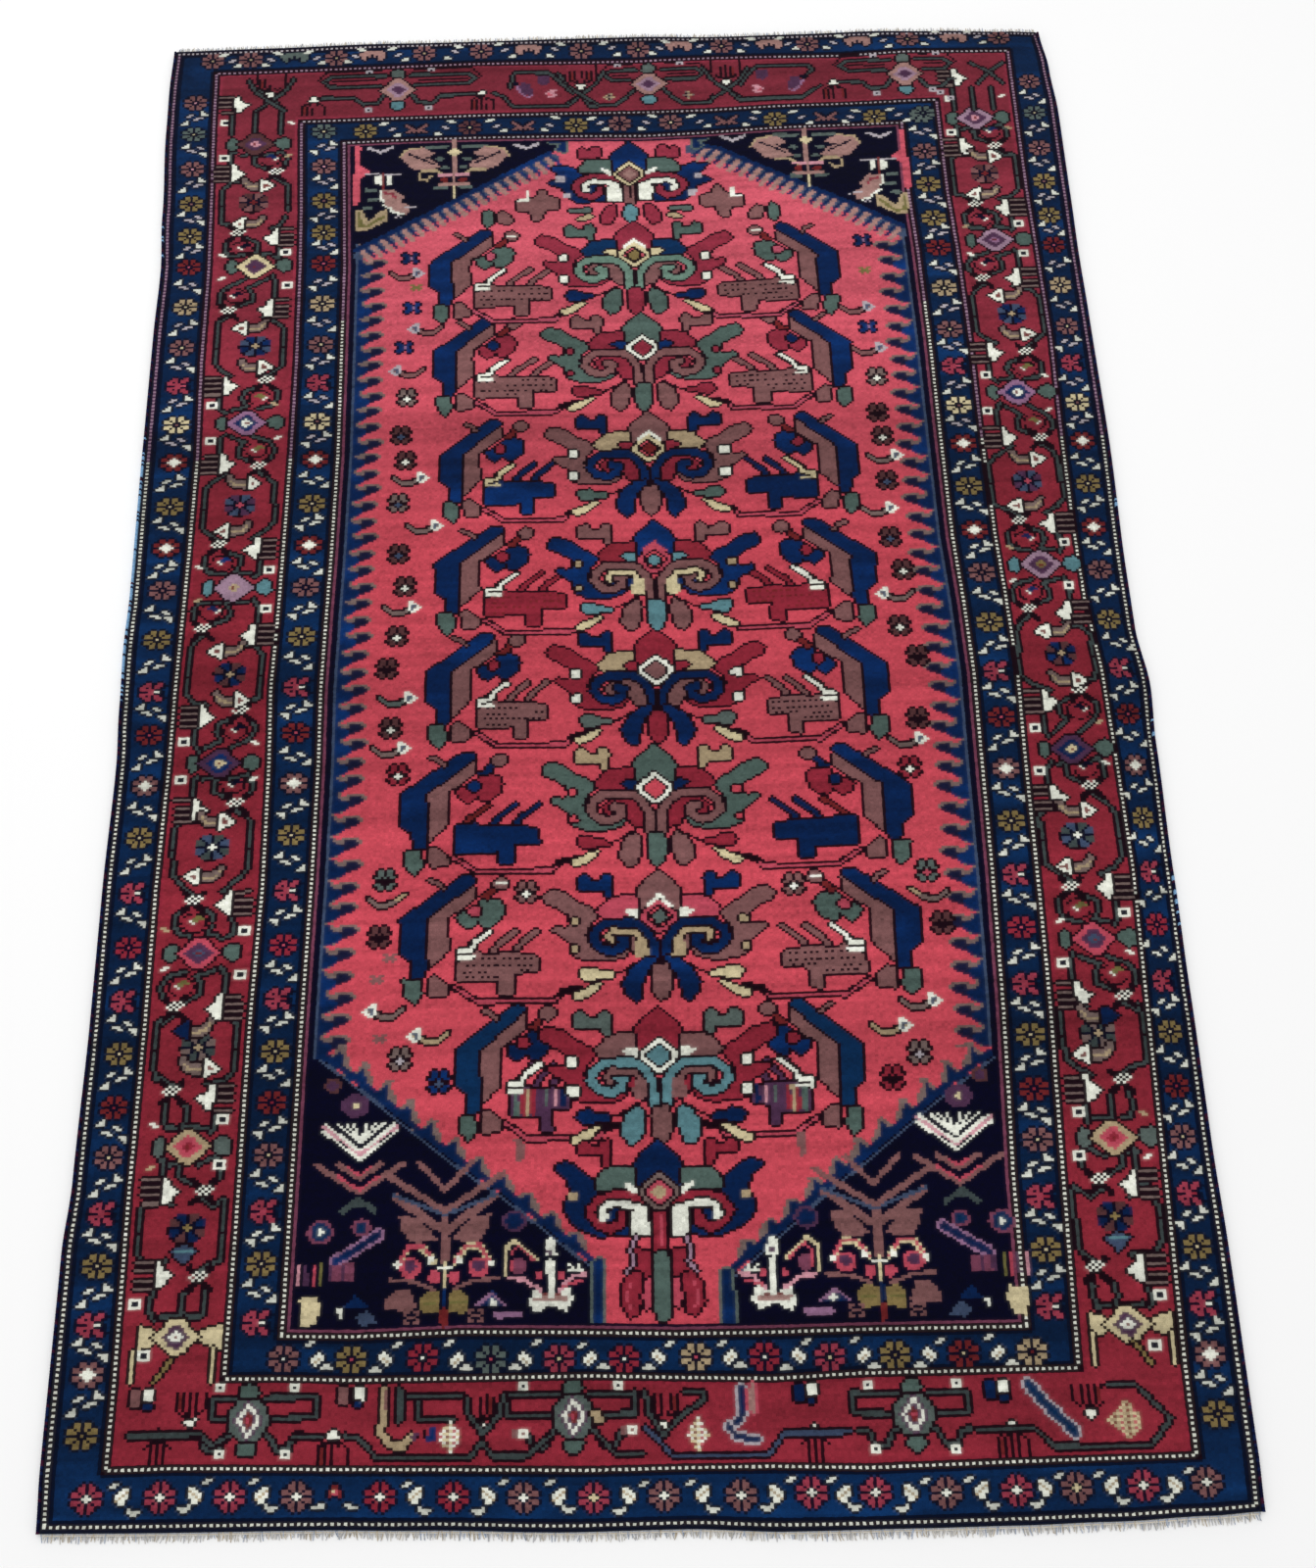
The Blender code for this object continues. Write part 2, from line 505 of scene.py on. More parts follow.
DASHES = (".ww....", "ww.....", "....www", "...ww..")
LEAF_PAIR = (".ww", "ww.")
LOZENGE = ("..ww", ".wwg", "wwgw", "wgww", "gww.", ".ww.")
SMALL_LOZENGE = ("..w.", ".www", "wwgw", "wgw.", ".w..")
BIRD = ("w...", "wwww", ".ww.")
SMALL_FLOWER = (".rr.", ".rr.", "rcpr", "rppr", "r..r")
BUD = ("..bb.", ".bbbb", "wbb..", ".w...")
EYE = ("wwww", "wnnw", "wnnw", "wwww")
CROSSING = ("..w.w.", ".w.w.w", "w.w.w.", ".w.w..")
RINGED_DOT = ("www", "wnw", "www")
PINK_FLOWER = ("..ppp", ".ppp.", "pcpp.", ".ccpp", ".ppp.")
SEEDLING = ("gg.gg", ".ggg.", "ggggg", ".g.g.")
KNOTTED_CROSS = ("bb.bb", "b...b", ".bbb.", "b...b", "bb.bb")

# The yarns on both sides of each dotted line, from the rug's edge in, with how many knots inward they lie
LINE_EDGES = (
    (("night", -1), ("night", 1)),
    (("dark", -1), ("dark", 1), ("wine", 2)),
    (("dark", -1), ("dark", 1), ("wine", -2)),
    (("dark", -1), ("dark", 1), ("mulberry", 2), ("night", 3)),
)
# The rows from which the lengthwise dotted lines fade, the last of them being the field's, and the column
# up to which the head's second line is fainter
FADED_FROM = (462, 462, 462, 540)
FAINT_UP_TO = 250


def lay_grounds(chart):
    """The borders' and the field's grounds, and the dotted lines that part them."""
    yarns = chart.yarns
    yarns[:] = CODES["guard"]
    frames = [(LINE_COLUMNS[k], LINE_ROWS[k], LINE_COLUMNS[7 - k], LINE_ROWS[7 - k]) for k in range(4)]
    for ground, (left, low, right, high) in zip(("guard", "madder", "guard", "night"), frames):
        yarns[low : high + 1, left : right + 1] = CODES[ground]
    draw_field_ground(chart)
    for number, (left, low, right, high) in enumerate(frames):
        for yarn, step in LINE_EDGES[number]:
            a, b = max(left + step, 0), min(right - step, KNOTS_ACROSS - 1)
            c, d = max(low + step, 0), min(high - step, KNOTS_ALONG - 1)
            yarns[c, a : b + 1] = yarns[d, a : b + 1] = CODES[yarn]
            yarns[c : d + 1, a] = yarns[c : d + 1, b] = CODES[yarn]
        for row in range(low, high + 1):
            pair = ("dark", "ivory") if row < FADED_FROM[number] else ("plum", "mauve")
            yarns[row, left] = yarns[row, right] = CODES[pair[row % 2]]
        for column in range(left, right + 1):
            faint = number == 1 and column < FAINT_UP_TO
            yarns[low, column] = CODES[("dark", "ivory")[column % 2]]
            yarns[high, column] = CODES[("dark", "mauve" if faint else "ash")[column % 2]]


# The rosettes of the guard stripes: their place along or across, petals and heart
SIDE_GUARD = read_rows("""97 gold gold, 157 brown ivory, 207 claret ivory, 268 gold cream, 325 claret wine,
    385 brown cream, 443 rust wine, 504 gold cream, 565 claret wine, 630 wine rose, 697 claret ivory,
    765 gold cream, 832 brown ivory, 900 rust rose, 960 claret ivory, 1030 gold cream, 1100 brown brown,
    1162 rust ivory, 1225 gold cream, 1290 rust ivory, 1350 cream brown, 1412 claret rose, 1472 brown cream,
    1539 beige cream, 1606 rust rose, 1659 gold cream, 1716 gold brown, 1777 brown pink, 1840 lichen cream,
    1898 brown pink""")
FOOT_GUARD = read_rows("""50 claret ivory, 128 claret ivory, 202 claret ivory, 275 brown ivory,
    362 wine ivory, 441 wine ivory, 516 brown ivory, 592 claret cream, 664 brown ivory, 748 brown ivory,
    820 claret ivory, 890 claret ivory, 963 brown ivory, 1038 claret ivory, 1102 brown cream,
    1172 claret ivory, 1240 brown ivory""")
FOOT_INNER_GUARD = read_rows("""255 brown ivory, 327 gold rose, 405 wine ivory, 482 lichen rose,
    554 claret cream, 626 wine ivory, 703 beige rose, 780 wine ivory, 850 claret cream, 922 gold gold,
    997 rust cream, 1070 beige rust""")
HEAD_GUARD = read_rows("""55 brown beige, 112 brown beige, 177 lichen cream, 242 brown beige, 295 fawn rose,
    375 brown beige, 460 brown beige, 530 fawn rose, 610 brown beige, 695 brown beige, 755 fawn rose,
    820 brown beige, 890 fawn rose, 948 brown beige, 1022 fawn rose, 1097 brown beige, 1165 fawn rose,
    1235 brown beige""")
HEAD_INNER_GUARD = read_rows("""290 gold cream, 365 brown dark, 445 cocoa cream, 520 brown dark,
    600 gold cream, 665 brown cocoa, 740 brown cream, 820 brown dark, 893 gold cream, 967 brown dark,
    1036 gold cream, 1107 lichen lichen""")
SIDE_STRIPES = (
    # first and last column, how far the rosettes stand off its middle, whether it is an inner stripe
    (0, 18, 1.6, False),
    (52, 69, 0.0, True),
    (299, 314, 0.0, True),
    (346, 362, -2.0, False),
)
# The yarns of the leaves between the rosettes
WHITE = {"w": "chalk"}
ASH = {"w": "ash"}
CREAM = {"w": "ivory", "g": "beige"}
HEAD_LEAVES = (
    (-10, 11, (".www", "www."), WHITE, True),
    (0, 0, LEAF_PAIR, ASH, True),
    (9, -10, (".ww", "www"), WHITE, True),
)
END_STRIPES = (
    # name, rosettes, along, a row in it and a column that its bend is measured from, then the leaves between
    # its rosettes: how far across and up, motif, yarns, whether they turn over at each step
    ("foot", FOOT_GUARD, 35, 30, 60, (
        (0, -1, LOZENGE, CREAM, True), (11, -13, BIRD, WHITE, True), (-13, 11, LEAF_PAIR, WHITE, False),
    )),
    ("inner foot", FOOT_INNER_GUARD, 170, 30, 60, (
        (0, 0, SMALL_LOZENGE, CREAM, True), (12, -11, (".ww.", "wwww"), WHITE, False),
        (-10, 13, LEAF_PAIR, WHITE, False),
    )),
    ("head", HEAD_GUARD, 1980, 690, 130, HEAD_LEAVES),
    ("inner head", HEAD_INNER_GUARD, 1841, 690, 130, HEAD_LEAVES),
)
# The foot's rosette after which a small flower stands in place of the leaves
FLOWER_AFTER = 275


def weave_side_guards(chart):
    """The blue guard stripes along the sides: rosettes, with white leaves and dashes between."""
    for number, (first, last, nudge, inner) in enumerate(SIDE_STRIPES):
        steps = range(2, len(SIDE_GUARD) - 1) if inner else range(len(SIDE_GUARD))
        for step in steps:
            along, petals, heart = SIDE_GUARD[step]
            row = int(np.searchsorted(chart.along[:, first], along))
            middle = (chart.across[row, first] + chart.across[row, last]) / 2 + nudge
            turn = 1 - 2 * ((step + number) % 2)
            motif = BRIGHT_ROSETTE if heart == "ivory" else ROSETTE
            if petals == "claret":
                motif = OPEN_ROSETTE
            chart.stitches((middle, along), motif, {"P": petals, "H": heart, "o": "night"},
                           1 if petals == "claret" else turn)
            if step < steps[-1]:
                half = (along + SIDE_GUARD[step + 1][0]) / 2
                chart.stitches((middle + 1, half + 1), DASHES, ASH if half > 1300 else WHITE, turn)
                chart.stitches((middle + turn * 14, half + 10), TREFOIL, WHITE, -turn)
                chart.stitches((middle - turn * 14, half - 7), TREFOIL[::1 - 2 * (step % 2)], WHITE)


def weave_end_guards(chart):
    """The blue guard stripes at the foot and at the head."""
    for name, rosettes, along, row, start, leaves in END_STRIPES:
        for step, (across, petals, heart) in enumerate(rosettes):
            column = int(np.searchsorted(chart.across[340], across))
            up = along + chart.along[row, column] - chart.along[row, start]
            side = 1 - 2 * (step % 2)
            motif = TALL_ROSETTE if name == "foot" else ROSETTE
            if name == "head" and petals in ("fawn", "lichen"):
                motif = FAN
            if name == "inner head" and heart == "dark":
                motif = CUP
            chart.stitches((across, up), motif, {"P": petals, "H": heart, "o": "night"}, side)
            if name == "foot" and across == FLOWER_AFTER:
                chart.stitches((318, 38), SMALL_FLOWER, {"r": "rust", "p": "rose", "c": "cream"})
                chart.stitches((298, 24), ("..ww", "wwww"), WHITE)
                chart.stitches((336, 22), ("ww..", ".www"), WHITE)
            elif step + 1 < len(rosettes):
                spot = across + (rosettes[step + 1][0] - across) * 0.52
                for over, rise, leaf, yarns, turns in leaves:
                    chart.stitches((spot + side * over, up + rise), leaf, yarns, side if turns else 1)


# The main border's cells: octagon's middle, its flower, along, how far its birds stand off, then the
# crossing and the comb triangle below it, and those above it
LEFT_CELLS = read_rows("""133 137 307 0 157 255 117 260 155 348 118 350,
    135 136 510 21 111 459 150 453 107 556 153 557,
    138 136 753 34 120 685 157 683 165 808 121 801,
    139 144 982 33 163 931 120 926 107 1044 165 1037,
    143 142 1224 34 120 1165 163 1160 166 1283 123 1289,
    143 147 1473 31 167 1416 119 1411 110 1531 161 1535,
    136 134 1714 32 115 1663 163 1655 163 1767 109 1769""")
RIGHT_CELLS = read_rows("""1182 1180 302 0 1152 247 1195 247 1168 340 1200 337,
    1194 1186 505 21 1208 450 1175 443 1224 548 1179 551,
    1198 1193 743 34 1180 680 1218 680 1220 805 1181 794,
    1198 1204 983 33 1222 933 1184 920 1170 1045 1214 1042,
    1189 1190 1233 34 1174 1173 1210 1170 1217 1296 1175 1301,
    1195 1200 1495 31 1213 1432 1172 1434 1166 1552 1208 1555,
    1188 1188 1734 32 1170 1680 1206 1675 1210 1783 1169 1783""")
# The flowers in the cells: petals, the other petals, heart
CELL_FLOWERS = read_rows("""blue cocoa gold, taupe smoke beige, slate smoke ivory, blue cocoa beige,
    plum slate rose, blue slate beige, cocoa brown rust""")
# The lozenges between the cells: across, along, rim, fill, heart, leaves
LEFT_DIAMONDS = read_rows("""135 195 cream plum ivory cream, 134 398 beige rose wine lichen,
    131 622 rose plum slate green, 140 862 plum blue cream green, 143 1104 mauve mauve beige teal,
    145 1351 lilac blue ivory green, 143 1606 cream plum plum green, 131 1821 cocoa plum pink green""")
RIGHT_DIAMONDS = read_rows("""1179 190 cream plum ivory cream, 1190 388 beige rose wine lichen,
    1198 617 rose plum slate green, 1202 856 plum blue cream green, 1194 1110 mauve plum gold teal,
    1194 1370 lilac blue ivory green, 1190 1619 mauve plum lilac green, 1185 1835 mauve plum pink green""")
# Small fillings of the side borders: across, along
SIDE_EYES = read_rows("""88 228, 100 173, 173 376, 173 424, 183 593, 183 645, 95 838, 95 890, 187 1069,
    187 1126, 98 1323, 98 1377, 189 1569, 186 1625, 88 1794, 86 1857, 1219 217, 1205 165, 1148 366,
    1153 415, 1157 587, 1238 645, 1160 826, 1161 881, 1228 1077, 1228 1138, 1151 1340, 1154 1396,
    1227 1593, 1226 1643, 1148 1808, 1150 1870""")
SIDE_DOTS = read_rows("""91 372, 92 421, 90 602, 87 648, 182 838, 182 885, 97 1084, 94 1132, 188 1325,
    180 1376, 93 1585, 95 1622, 180 1797, 178 1857, 1225 362, 1226 411, 1158 638, 1236 598, 1240 888,
    1241 835, 1155 1085, 1156 1132, 1230 1340, 1231 1392, 1150 1640, 1151 1592, 1228 1872, 1230 1812""")

# A white triangle before a comb of dark teeth
COMB_TRIANGLE = """
band 2.8 taupe/dark -12,13 -33,13
band 2.8 taupe/dark -12,4 -33,4
band 2.8 taupe/dark -12,-5 -33,-5
band 2.8 taupe/dark -12,-14 -33,-14
area ivory/dark -10,15 -5,15 -2,6 10,-1 3,-6 -2,-13 -8,-14 -10,-2
"""
# What lies below the first octagon's flower, in the corners at the foot and in those at the head
FIRST_CELL_LEAF = """
area slate/dark 0,-15 -14,-22 -10,-27 0,-38 10,-27 14,-22
band 2.8 teal -10,-23 10,-23
"""
FOOT_CORNER = """
band 3.7 cream/dark -30,150 -30,182
band 3.7 cream/dark 56,150 57,182
band 3.7 gold/dark -5,150 12,172
"""
HEAD_CORNERS = """
vine 94,1840 94,1882 vine 127,1840 127,1882 vine 166,1840 166,1882
vine 1157,1850 1157,1892 vine 1185,1850 1185,1892 vine 1214,1850 1214,1892
"""
HEAD_FORK = """
vine 26,-12 44,10 66,26
vine 62,-12 44,10 20,26
"""
# A bird in profile: a striped body with its tail up, and a pale head like an arrow
SMALL_BIRD = """
area taupe/dark -24,12 -20,0 -12,-7 6,-8 6,5 -8,4 -15,8 -18,14
band 3 beige -19,6 -13,-2 5,-3
area head/dark 5,-12 5,11 13,8 25,-1 13,-8
area beak 9,-5 9,4 18,-1
"""
# The lozenge's ring and the leaves beside it
LOZENGE_RING = "whole yarn/edge 0,19 4,19 10,15 17,8 27,0 17,-8 10,-15 4,-19"
LOZENGE_LEAF = ((22, 1), (28, 2), (34, 9), (44, 11), (50, 6), (50, -6), (42, -11), (34, -7), (28, -1),
                (22, -1))
CREAM_LEAF = ((22, 3), (34, 8), (38, 10), (50, 12), (50, -12), (38, -10), (34, -8), (22, -3))


def vine(chart, points):
    chart.band(points, VINE_WIDTH, "smoke", "dark")


def diamond(chart, at, rim, fill, heart, leaves):
    """A lozenge in rings, with a leaf on each side, the left one shorter."""
    for flip, wide in ((-1, 0.8), (1, 1.0)):
        leaf = CREAM_LEAF if leaves == "cream" else LOZENGE_LEAF
        chart.area(put([(x * wide if x > 30 else x, y) for x, y in leaf], at, flip), leaves, "dark")
    rings = ((1.0, rim, "dark"), (0.64, fill, None), (0.30, heart, None), (0.12, "rust", None))
    for scale, yarn, edge in rings:
        draw(chart, LOZENGE_RING, at, scale=scale, yarn=yarn, edge=edge)


def roundel_vine(chart, start, end, rise, side, bow, bud):
    """The two stems from a crossing to a lozenge, which bow round a small bud."""
    (x, v), (ex, ev) = start, end
    middle = x + (ex - x) * 0.25
    for lean in (-1, 1):
        foot = (ex + lean * (12 if lean == side else 20), ev - rise * 21)
        bent = [(bow, 16), (bow + 1, 28), (max(bow - 6, 10), 39)]
        stem = [(middle + lean * over, v + rise * up) for over, up in bent]
        vine(chart, [(x + lean * 8, v + rise * 7), *stem, foot])
    if bud:
        centre = v + rise * 26
        ring = [(15 * math.cos(a * math.pi / 6), 12 * math.sin(a * math.pi / 6)) for a in range(-3, 9)]
        chart.band([(middle + over, centre - rise * up) for over, up in ring], 2.4, "dark")
        chart.stitches((middle, centre), BUD, {"b": bud, "w": "ivory"}, 1 if v % 3 else -1)


def weave_cell(chart, cell, number, flower, blooms, bird_turn):
    """An octagon of vines with its flower and birds, and what leads to the lozenges below and above it."""
    x, bloom_x, v, off, *ends = cell
    for rise, (cross_x, cross_v, comb_x, comb_v), bloom in zip((-1, 1), (ends[:4], ends[4:]), blooms):
        side = 1 if cross_x > x else -1
        wall = x + side * 47
        vine(chart, [(cross_x - side * 4, cross_v - rise * 6), (cross_x + side * 12, cross_v - rise * 16),
                     (wall - side * 2, v + rise * 34), (wall, v + rise * 24), (wall, v)])
        wall = x - side * 47
        vine(chart, [(comb_x + side * 2, comb_v - rise * 15), (wall + side * 10, v + rise * 38),
                     (wall, v + rise * 26), (wall, v)])
        narrow = rise < 0 and number < 2
        bud = None if number == 0 or narrow else ("night", "blue", "olive")[(number + (rise > 0)) % 3]
        roundel_vine(chart, (cross_x, cross_v), bloom[:2], rise, side, 12 if narrow else 23, bud)
        vine(chart, [(comb_x - side * 12, comb_v + rise * 15), (comb_x - side * 13, comb_v + rise * 38),
                     (bloom[0] - side * 26, bloom[1] - rise * 16)])
        draw(chart, COMB_TRIANGLE, (comb_x, comb_v), side)
    for at in (ends[:2], ends[4:6]):
        draw(chart, "band 7.5 dark 12,-12 -12,12 band 7.5 dark -12,-12 12,12", at)
        chart.stitches(at, CROSSING, {"w": "ivory"})
    petals, others, heart = flower
    chart.disc((bloom_x, v), 20, "dark", None, 0.86)
    chart.stitches((bloom_x, v), WIDE_ROSETTE, {"P": petals, "Q": others, "H": heart, "o": "night"})
    if number == 0:
        draw(chart, FIRST_CELL_LEAF, (bloom_x, v))
    else:
        draw(chart, SMALL_BIRD, (bloom_x + bird_turn * 5, v - off - 2), bird_turn, head="ivory", beak="rust")
        head, beak = ("blue", "blue") if number == 1 else ("ivory", "rust")
        draw(chart, SMALL_BIRD, (bloom_x - bird_turn * 5, v + off), -bird_turn, head=head, beak=beak)


def weave_side_borders(chart):
    for cells, diamonds, turns in (
        (LEFT_CELLS, LEFT_DIAMONDS, (-1, 1, -1, 1, -1, 1, -1)),
        (RIGHT_CELLS, RIGHT_DIAMONDS, (-1, -1, -1, 1, -1, 1, -1)),
    ):
        for number, cell in enumerate(cells):
            blooms = diamonds[number : number + 2]
            weave_cell(chart, cell, number, CELL_FLOWERS[number], blooms, turns[number])
        for across, along, *yarns in diamonds:
            diamond(chart, (across, along), *yarns)
    for at in SIDE_EYES:
        chart.stitches(at, EYE, {"w": "ivory", "n": "night"})
    for number, at in enumerate(SIDE_DOTS):
        chart.stitches(at, LEAF_PAIR, {"w": "ivory" if number % 3 else "beige"}, 1 - 2 * (number % 2))
    draw(chart, FOOT_CORNER, (120, 0))
    draw(chart, FOOT_CORNER, (1195, 0), -1)
    draw(chart, HEAD_CORNERS)
    for at in ((107, 1895), (1170, 1910)):
        draw(chart, COMB_TRIANGLE, at)
        draw(chart, HEAD_FORK, at)


# A white dot with five dark teeth above it
COMB = """
area ivory/dark -7,0 7,0 2,-8 -2,-8
band 3 dark -8,4 -16,10 -16,26 band 3 dark -4,4 -8,10 -8,26 band 3 dark 0,4 0,10 0,26
band 3 dark 4,4 8,10 8,26 band 3 dark 8,4 16,10 16,26
band 2.4 rust -12,10 -12,24 band 2.4 rust 12,10 12,24
"""
CHECKER = """
area corner/dark -13,-8 -2,-8 -2,9 -13,9
area ivory/dark 2,-3 13,-3 13,10 2,10
area blue/dark 2,-10 11,-10 11,-4 2,-4
"""
ROUNDEL = """
whole lichen/dark 10,20 19,11 22,0 19,-11 10,-20
whole ivory/plum 0,19 13,0 0,-19
whole plum 0,13 9,0 0,-13
whole rust 0,9 6,0 0,-9
whole rose 0,4 3,0 0,-4
"""
# The foot border's stems, and the single figures between them, in the rug's own millimetres
FOOT_STEMS = """
vine 92,96 170,97 182,86 194,92
vine 270,92 300,93
vine 324,93 340,90 360,71 460,70 472,84 486,70 520,70 545,88
vine 600,88 616,70 645,70
vine 455,131 458,112 474,92 492,112 496,130
vine 650,131 652,112 668,88 690,108 712,122 713,131 690,131
band 3.7 slate/dark 648,96 664,82 676,68 780,68 798,88 868,88
vine 385,130 450,130
vine 405,124 405,107 444,107
vine 1005,88 1064,89 1086,70 1188,70 1212,95 1178,130 1150,130
band 7 beige/dark 367,138 367,106 362,98 374,83 388,82 397,91
band 2.8 brown 369,136 370,108
band 4.4 smoke/dark 384,138 384,106
area plum 397,96 404,94 402,86 396,88
area dark 408,94 412,98 412,88
area blue 415,100 424,100 422,86 414,86
area beige/dark 590,112 602,112 604,102 594,100
band 6 blue/ash 754,134 753,106 740,94
band 6 blue/ash 738,96 746,86 768,82
band 7 fawn/rose 766,134 766,110
band 10 sea/ash 1064,132 1080,112 1108,84
"""
# The foot border's roundels with their stems' reach on the left and right, its combs that point up or down,
# the colour of its checkers, and its dots
ROUNDELS = read_rows("220 110 40 74, 572 108 72 66, 938 104 66 60")
FOOT_COMBS = read_rows("""156 112 1, 470 103 1, 668 102 1, 1127 104 1, 123 93 -1, 312 91 -1, 830 87 -1,
    1040 88 -1""")
CHECKERS = read_rows("103 133 brown, 331 131 brown, 822 127 blue, 1029 126 blue")
FOOT_DOTS = read_rows("""184 142, 267 141, 188 77, 260 76, 517 139, 617 136, 888 134, 984 134, 891 69,
    976 69""")


def speckle(chart, at, reach, tall, yarns):
    """A patch of loose knots in a few colours, in the shape of a lozenge."""
    window = chart.window([at])
    x, y = chart.across[window] - at[0], chart.along[window] - at[1]
    inside = np.abs(x) / reach + np.abs(y) / tall < 1
    down, over = np.indices(x.shape)
    for number, yarn in enumerate(yarns):
        chart.tie(window, inside & ((down * 2 + over * 3 + (down * over) % 2) % len(yarns) == number), yarn)


def weave_foot_border(chart):
    for *at, left, right in ROUNDELS:
        for flip, far in ((-1, left), (1, right)):
            vine(chart, put([(16, 22), (far, 22), (far, 2), (20, 1)], at, flip))
            draw(chart, "vine 14,-12 24,-16 32,-30 44,-30 50,-16 60,-15", at, flip)
        for rise in (-1, 1):
            draw(chart, "whole green/dark 4,18 10,26 8,34 0,36", at, rise=rise)
        draw(chart, ROUNDEL, at)
    for *at, rise in FOOT_COMBS:
        draw(chart, COMB, at, rise=rise)
    for *at, corner in CHECKERS:
        draw(chart, CHECKER, at, corner=corner)
    for at in FOOT_DOTS:
        chart.stitches(at, RINGED_DOT, {"w": "ivory", "n": "night"})
    for x in (517, 634):
        chart.stitches((x, 91), RINGED_DOT, {"w": "ivory", "n": "rust"})
        chart.stitches((x - 9, 92), ("bb", "bb", "bb"), {"b": "brown"})
    draw(chart, FOOT_STEMS)
    for at in ((438, 90), (705, 89)):
        speckle(chart, at, 13, 17, ("ivory", "rose", "cream", "rust"))
    speckle(chart, (1165, 95), 21, 20, ("cream", "rose", "beige", "rust"))


# The head border: its medallions, then its combs and stems
HEAD_MEDALLIONS = read_rows("338 1915 112 116, 710 1913 66 82, 1090 1920 96 70")
MEDALLION = """
whole yarn/edge 0,20 6,20 15,10 27,0 15,-10 6,-20
"""
HEAD_COMB_STEMS = """
vine 34,24 22,2 0,-18 -22,-34
vine -34,24 -22,2 0,-18 22,-34
band 3 dark -22,36 -22,14 band 3 dark 22,36 22,14
"""
HEAD_STEMS = """
vine 506,1912 507,1932 512,1940 562,1939 576,1924 596,1900
vine 480,1903 496,1896 508,1878 592,1877 606,1892
vine 846,1906 858,1926 870,1940 948,1941 954,1932 940,1918
vine 832,1892 842,1879 936,1881 948,1890 966,1904
"""
VIOLET_LEAF = """
area plum -8,13 4,12 12,-2 9,-13 -4,-8 -11,2
band 3.4 lilac -13,6 -8,-5 3,-15 10,-10
area night -18,16 -8,14 -12,8 -18,8
"""


def weave_head_border(chart):
    marks = {"w": "ash", "n": "night"}
    for x, v, *reach in HEAD_MEDALLIONS:
        at = (x, v)
        central = x == HEAD_MEDALLIONS[1][0]
        for flip, far in zip((-1, 1), reach):
            vine(chart, put([(18, 27), (far - 12, 27), (far, 18), (far - 12, 8), (26, 8)], at, flip))
            chart.band(put([(24, 37), (far - 6, 37), (far + 8, 20)], at, flip), 2.8, "dark")
            chart.band(put([(30, 18), (far - 14, 18)], at, flip), 2.8, "dark")
            if central:
                draw(chart, "vine 20,-8 34,-24 50,-38 88,-38 96,-24", at, flip)
                speckle(chart, (x + flip * 58, v - 22), 9, 8, ("taupe", "dark", "beige", "rust"))
            else:
                vine(chart, put([(20, -8), (30, -24), (52, -26), (64, -13), (far, -12)], at, flip))
            chart.stitches((x + flip * 46, v + 33), RINGED_DOT[:2], marks)
            if not central:
                chart.stitches((x + flip * 46, v - 37), RINGED_DOT, marks)
        for rise, yarn in ((-1, "teal"), (1, "lichen")):
            draw(chart, "whole yarn/dark 3,18 10,26 8,35 0,38", at, rise=rise, yarn=yarn)
        for scale, yarn, edge in ((1.0, "fawn", "dark"), (0.66, "mauve", None), (0.40, "plum", None)):
            draw(chart, MEDALLION, at, scale=scale, yarn=yarn, edge=edge)
    for at in ((148, 1916), (610, 1914), (825, 1916)):
        draw(chart, COMB, at)
        draw(chart, HEAD_COMB_STEMS, at)
    for at in ((463, 1901), (983, 1904), (213, 1898)):
        draw(chart, COMB, at, rise=-1)
    draw(chart, HEAD_STEMS)
    for flip, leaf, block in ((1, 528, 555), (-1, 926, 877)):
        draw(chart, VIOLET_LEAF, (leaf, 1908), flip)
        draw(chart, "area plum -10,9 9,9 9,-6 -2,-10 -10,-3", (block, 1924), flip)
        chart.stitches((block + flip * 9, 1897), PINK_FLOWER, {"p": "pink", "c": "coral"}, flip)
    for at in ((1152, 1871), (1128, 1889)):
        chart.stitches(at, RINGED_DOT, marks)


# The red field's outline, and the blue blocks in its corners
FIELD = """
area coral 284,497 300,480 345,450 400,405 450,368 500,335 545,300 590,265 606,262 606,196 738,196
738,250 757,252 790,280 830,312 865,340 905,368 950,402 1000,440 1050,472 1064,490 1082,800 1082,1640
1050,1655 1000,1685 950,1710 900,1738 850,1765 810,1790 770,1800 768,1822 588,1822 586,1800 560,1790
520,1765 470,1735 420,1705 370,1680
330,1655 285,1632 268,1632 268,497
"""
FIELD_CORNERS = """
band 12 blue/lichen 600,202 602,262
band 12 blue/lichen 744,202 744,250
area blue/lichen 563,1816 585,1816 585,1792 571,1796 579,1808 563,1808
area blue/lichen 793,1816 771,1816 771,1792 785,1796 777,1808 793,1808
"""
# The serrated edges: the teeth's number and place along, on each side, then the sloping edges' corners
LEFT_TEETH = read_rows("0 495, 4 596, 12 817, 21 1034, 29 1225, 45 1612")
RIGHT_TEETH = read_rows("0 493, 4 592, 12 817, 20 1030, 28 1245, 42 1622")
FOOT_SLOPES = (
    read_rows("284 497, 345 452, 400 407, 450 370, 500 337, 545 302, 592 266"),
    read_rows("1062 484, 1000 442, 950 404, 905 370, 865 342, 830 314, 790 282, 752 252"),
)
HEAD_SLOPES = (
    read_rows("285 1630, 330 1656, 370 1680, 420 1708, 470 1738, 520 1768, 562 1792"),
    read_rows("1066 1646, 1000 1685, 950 1712, 900 1740, 850 1768, 810 1792, 772 1802"),
)


def places_along(points, first, spacing, spare=0):
    """Evenly spaced places along a line, each with how far along it lies."""
    line = np.array(points, float)
    far = np.r_[0, np.cumsum(np.hypot(*np.diff(line, axis=0).T))]
    for step in np.arange(first, far[-1] - spare, spacing):
        yield step, (float(np.interp(step, far, line[:, 0])), float(np.interp(step, far, line[:, 1])))


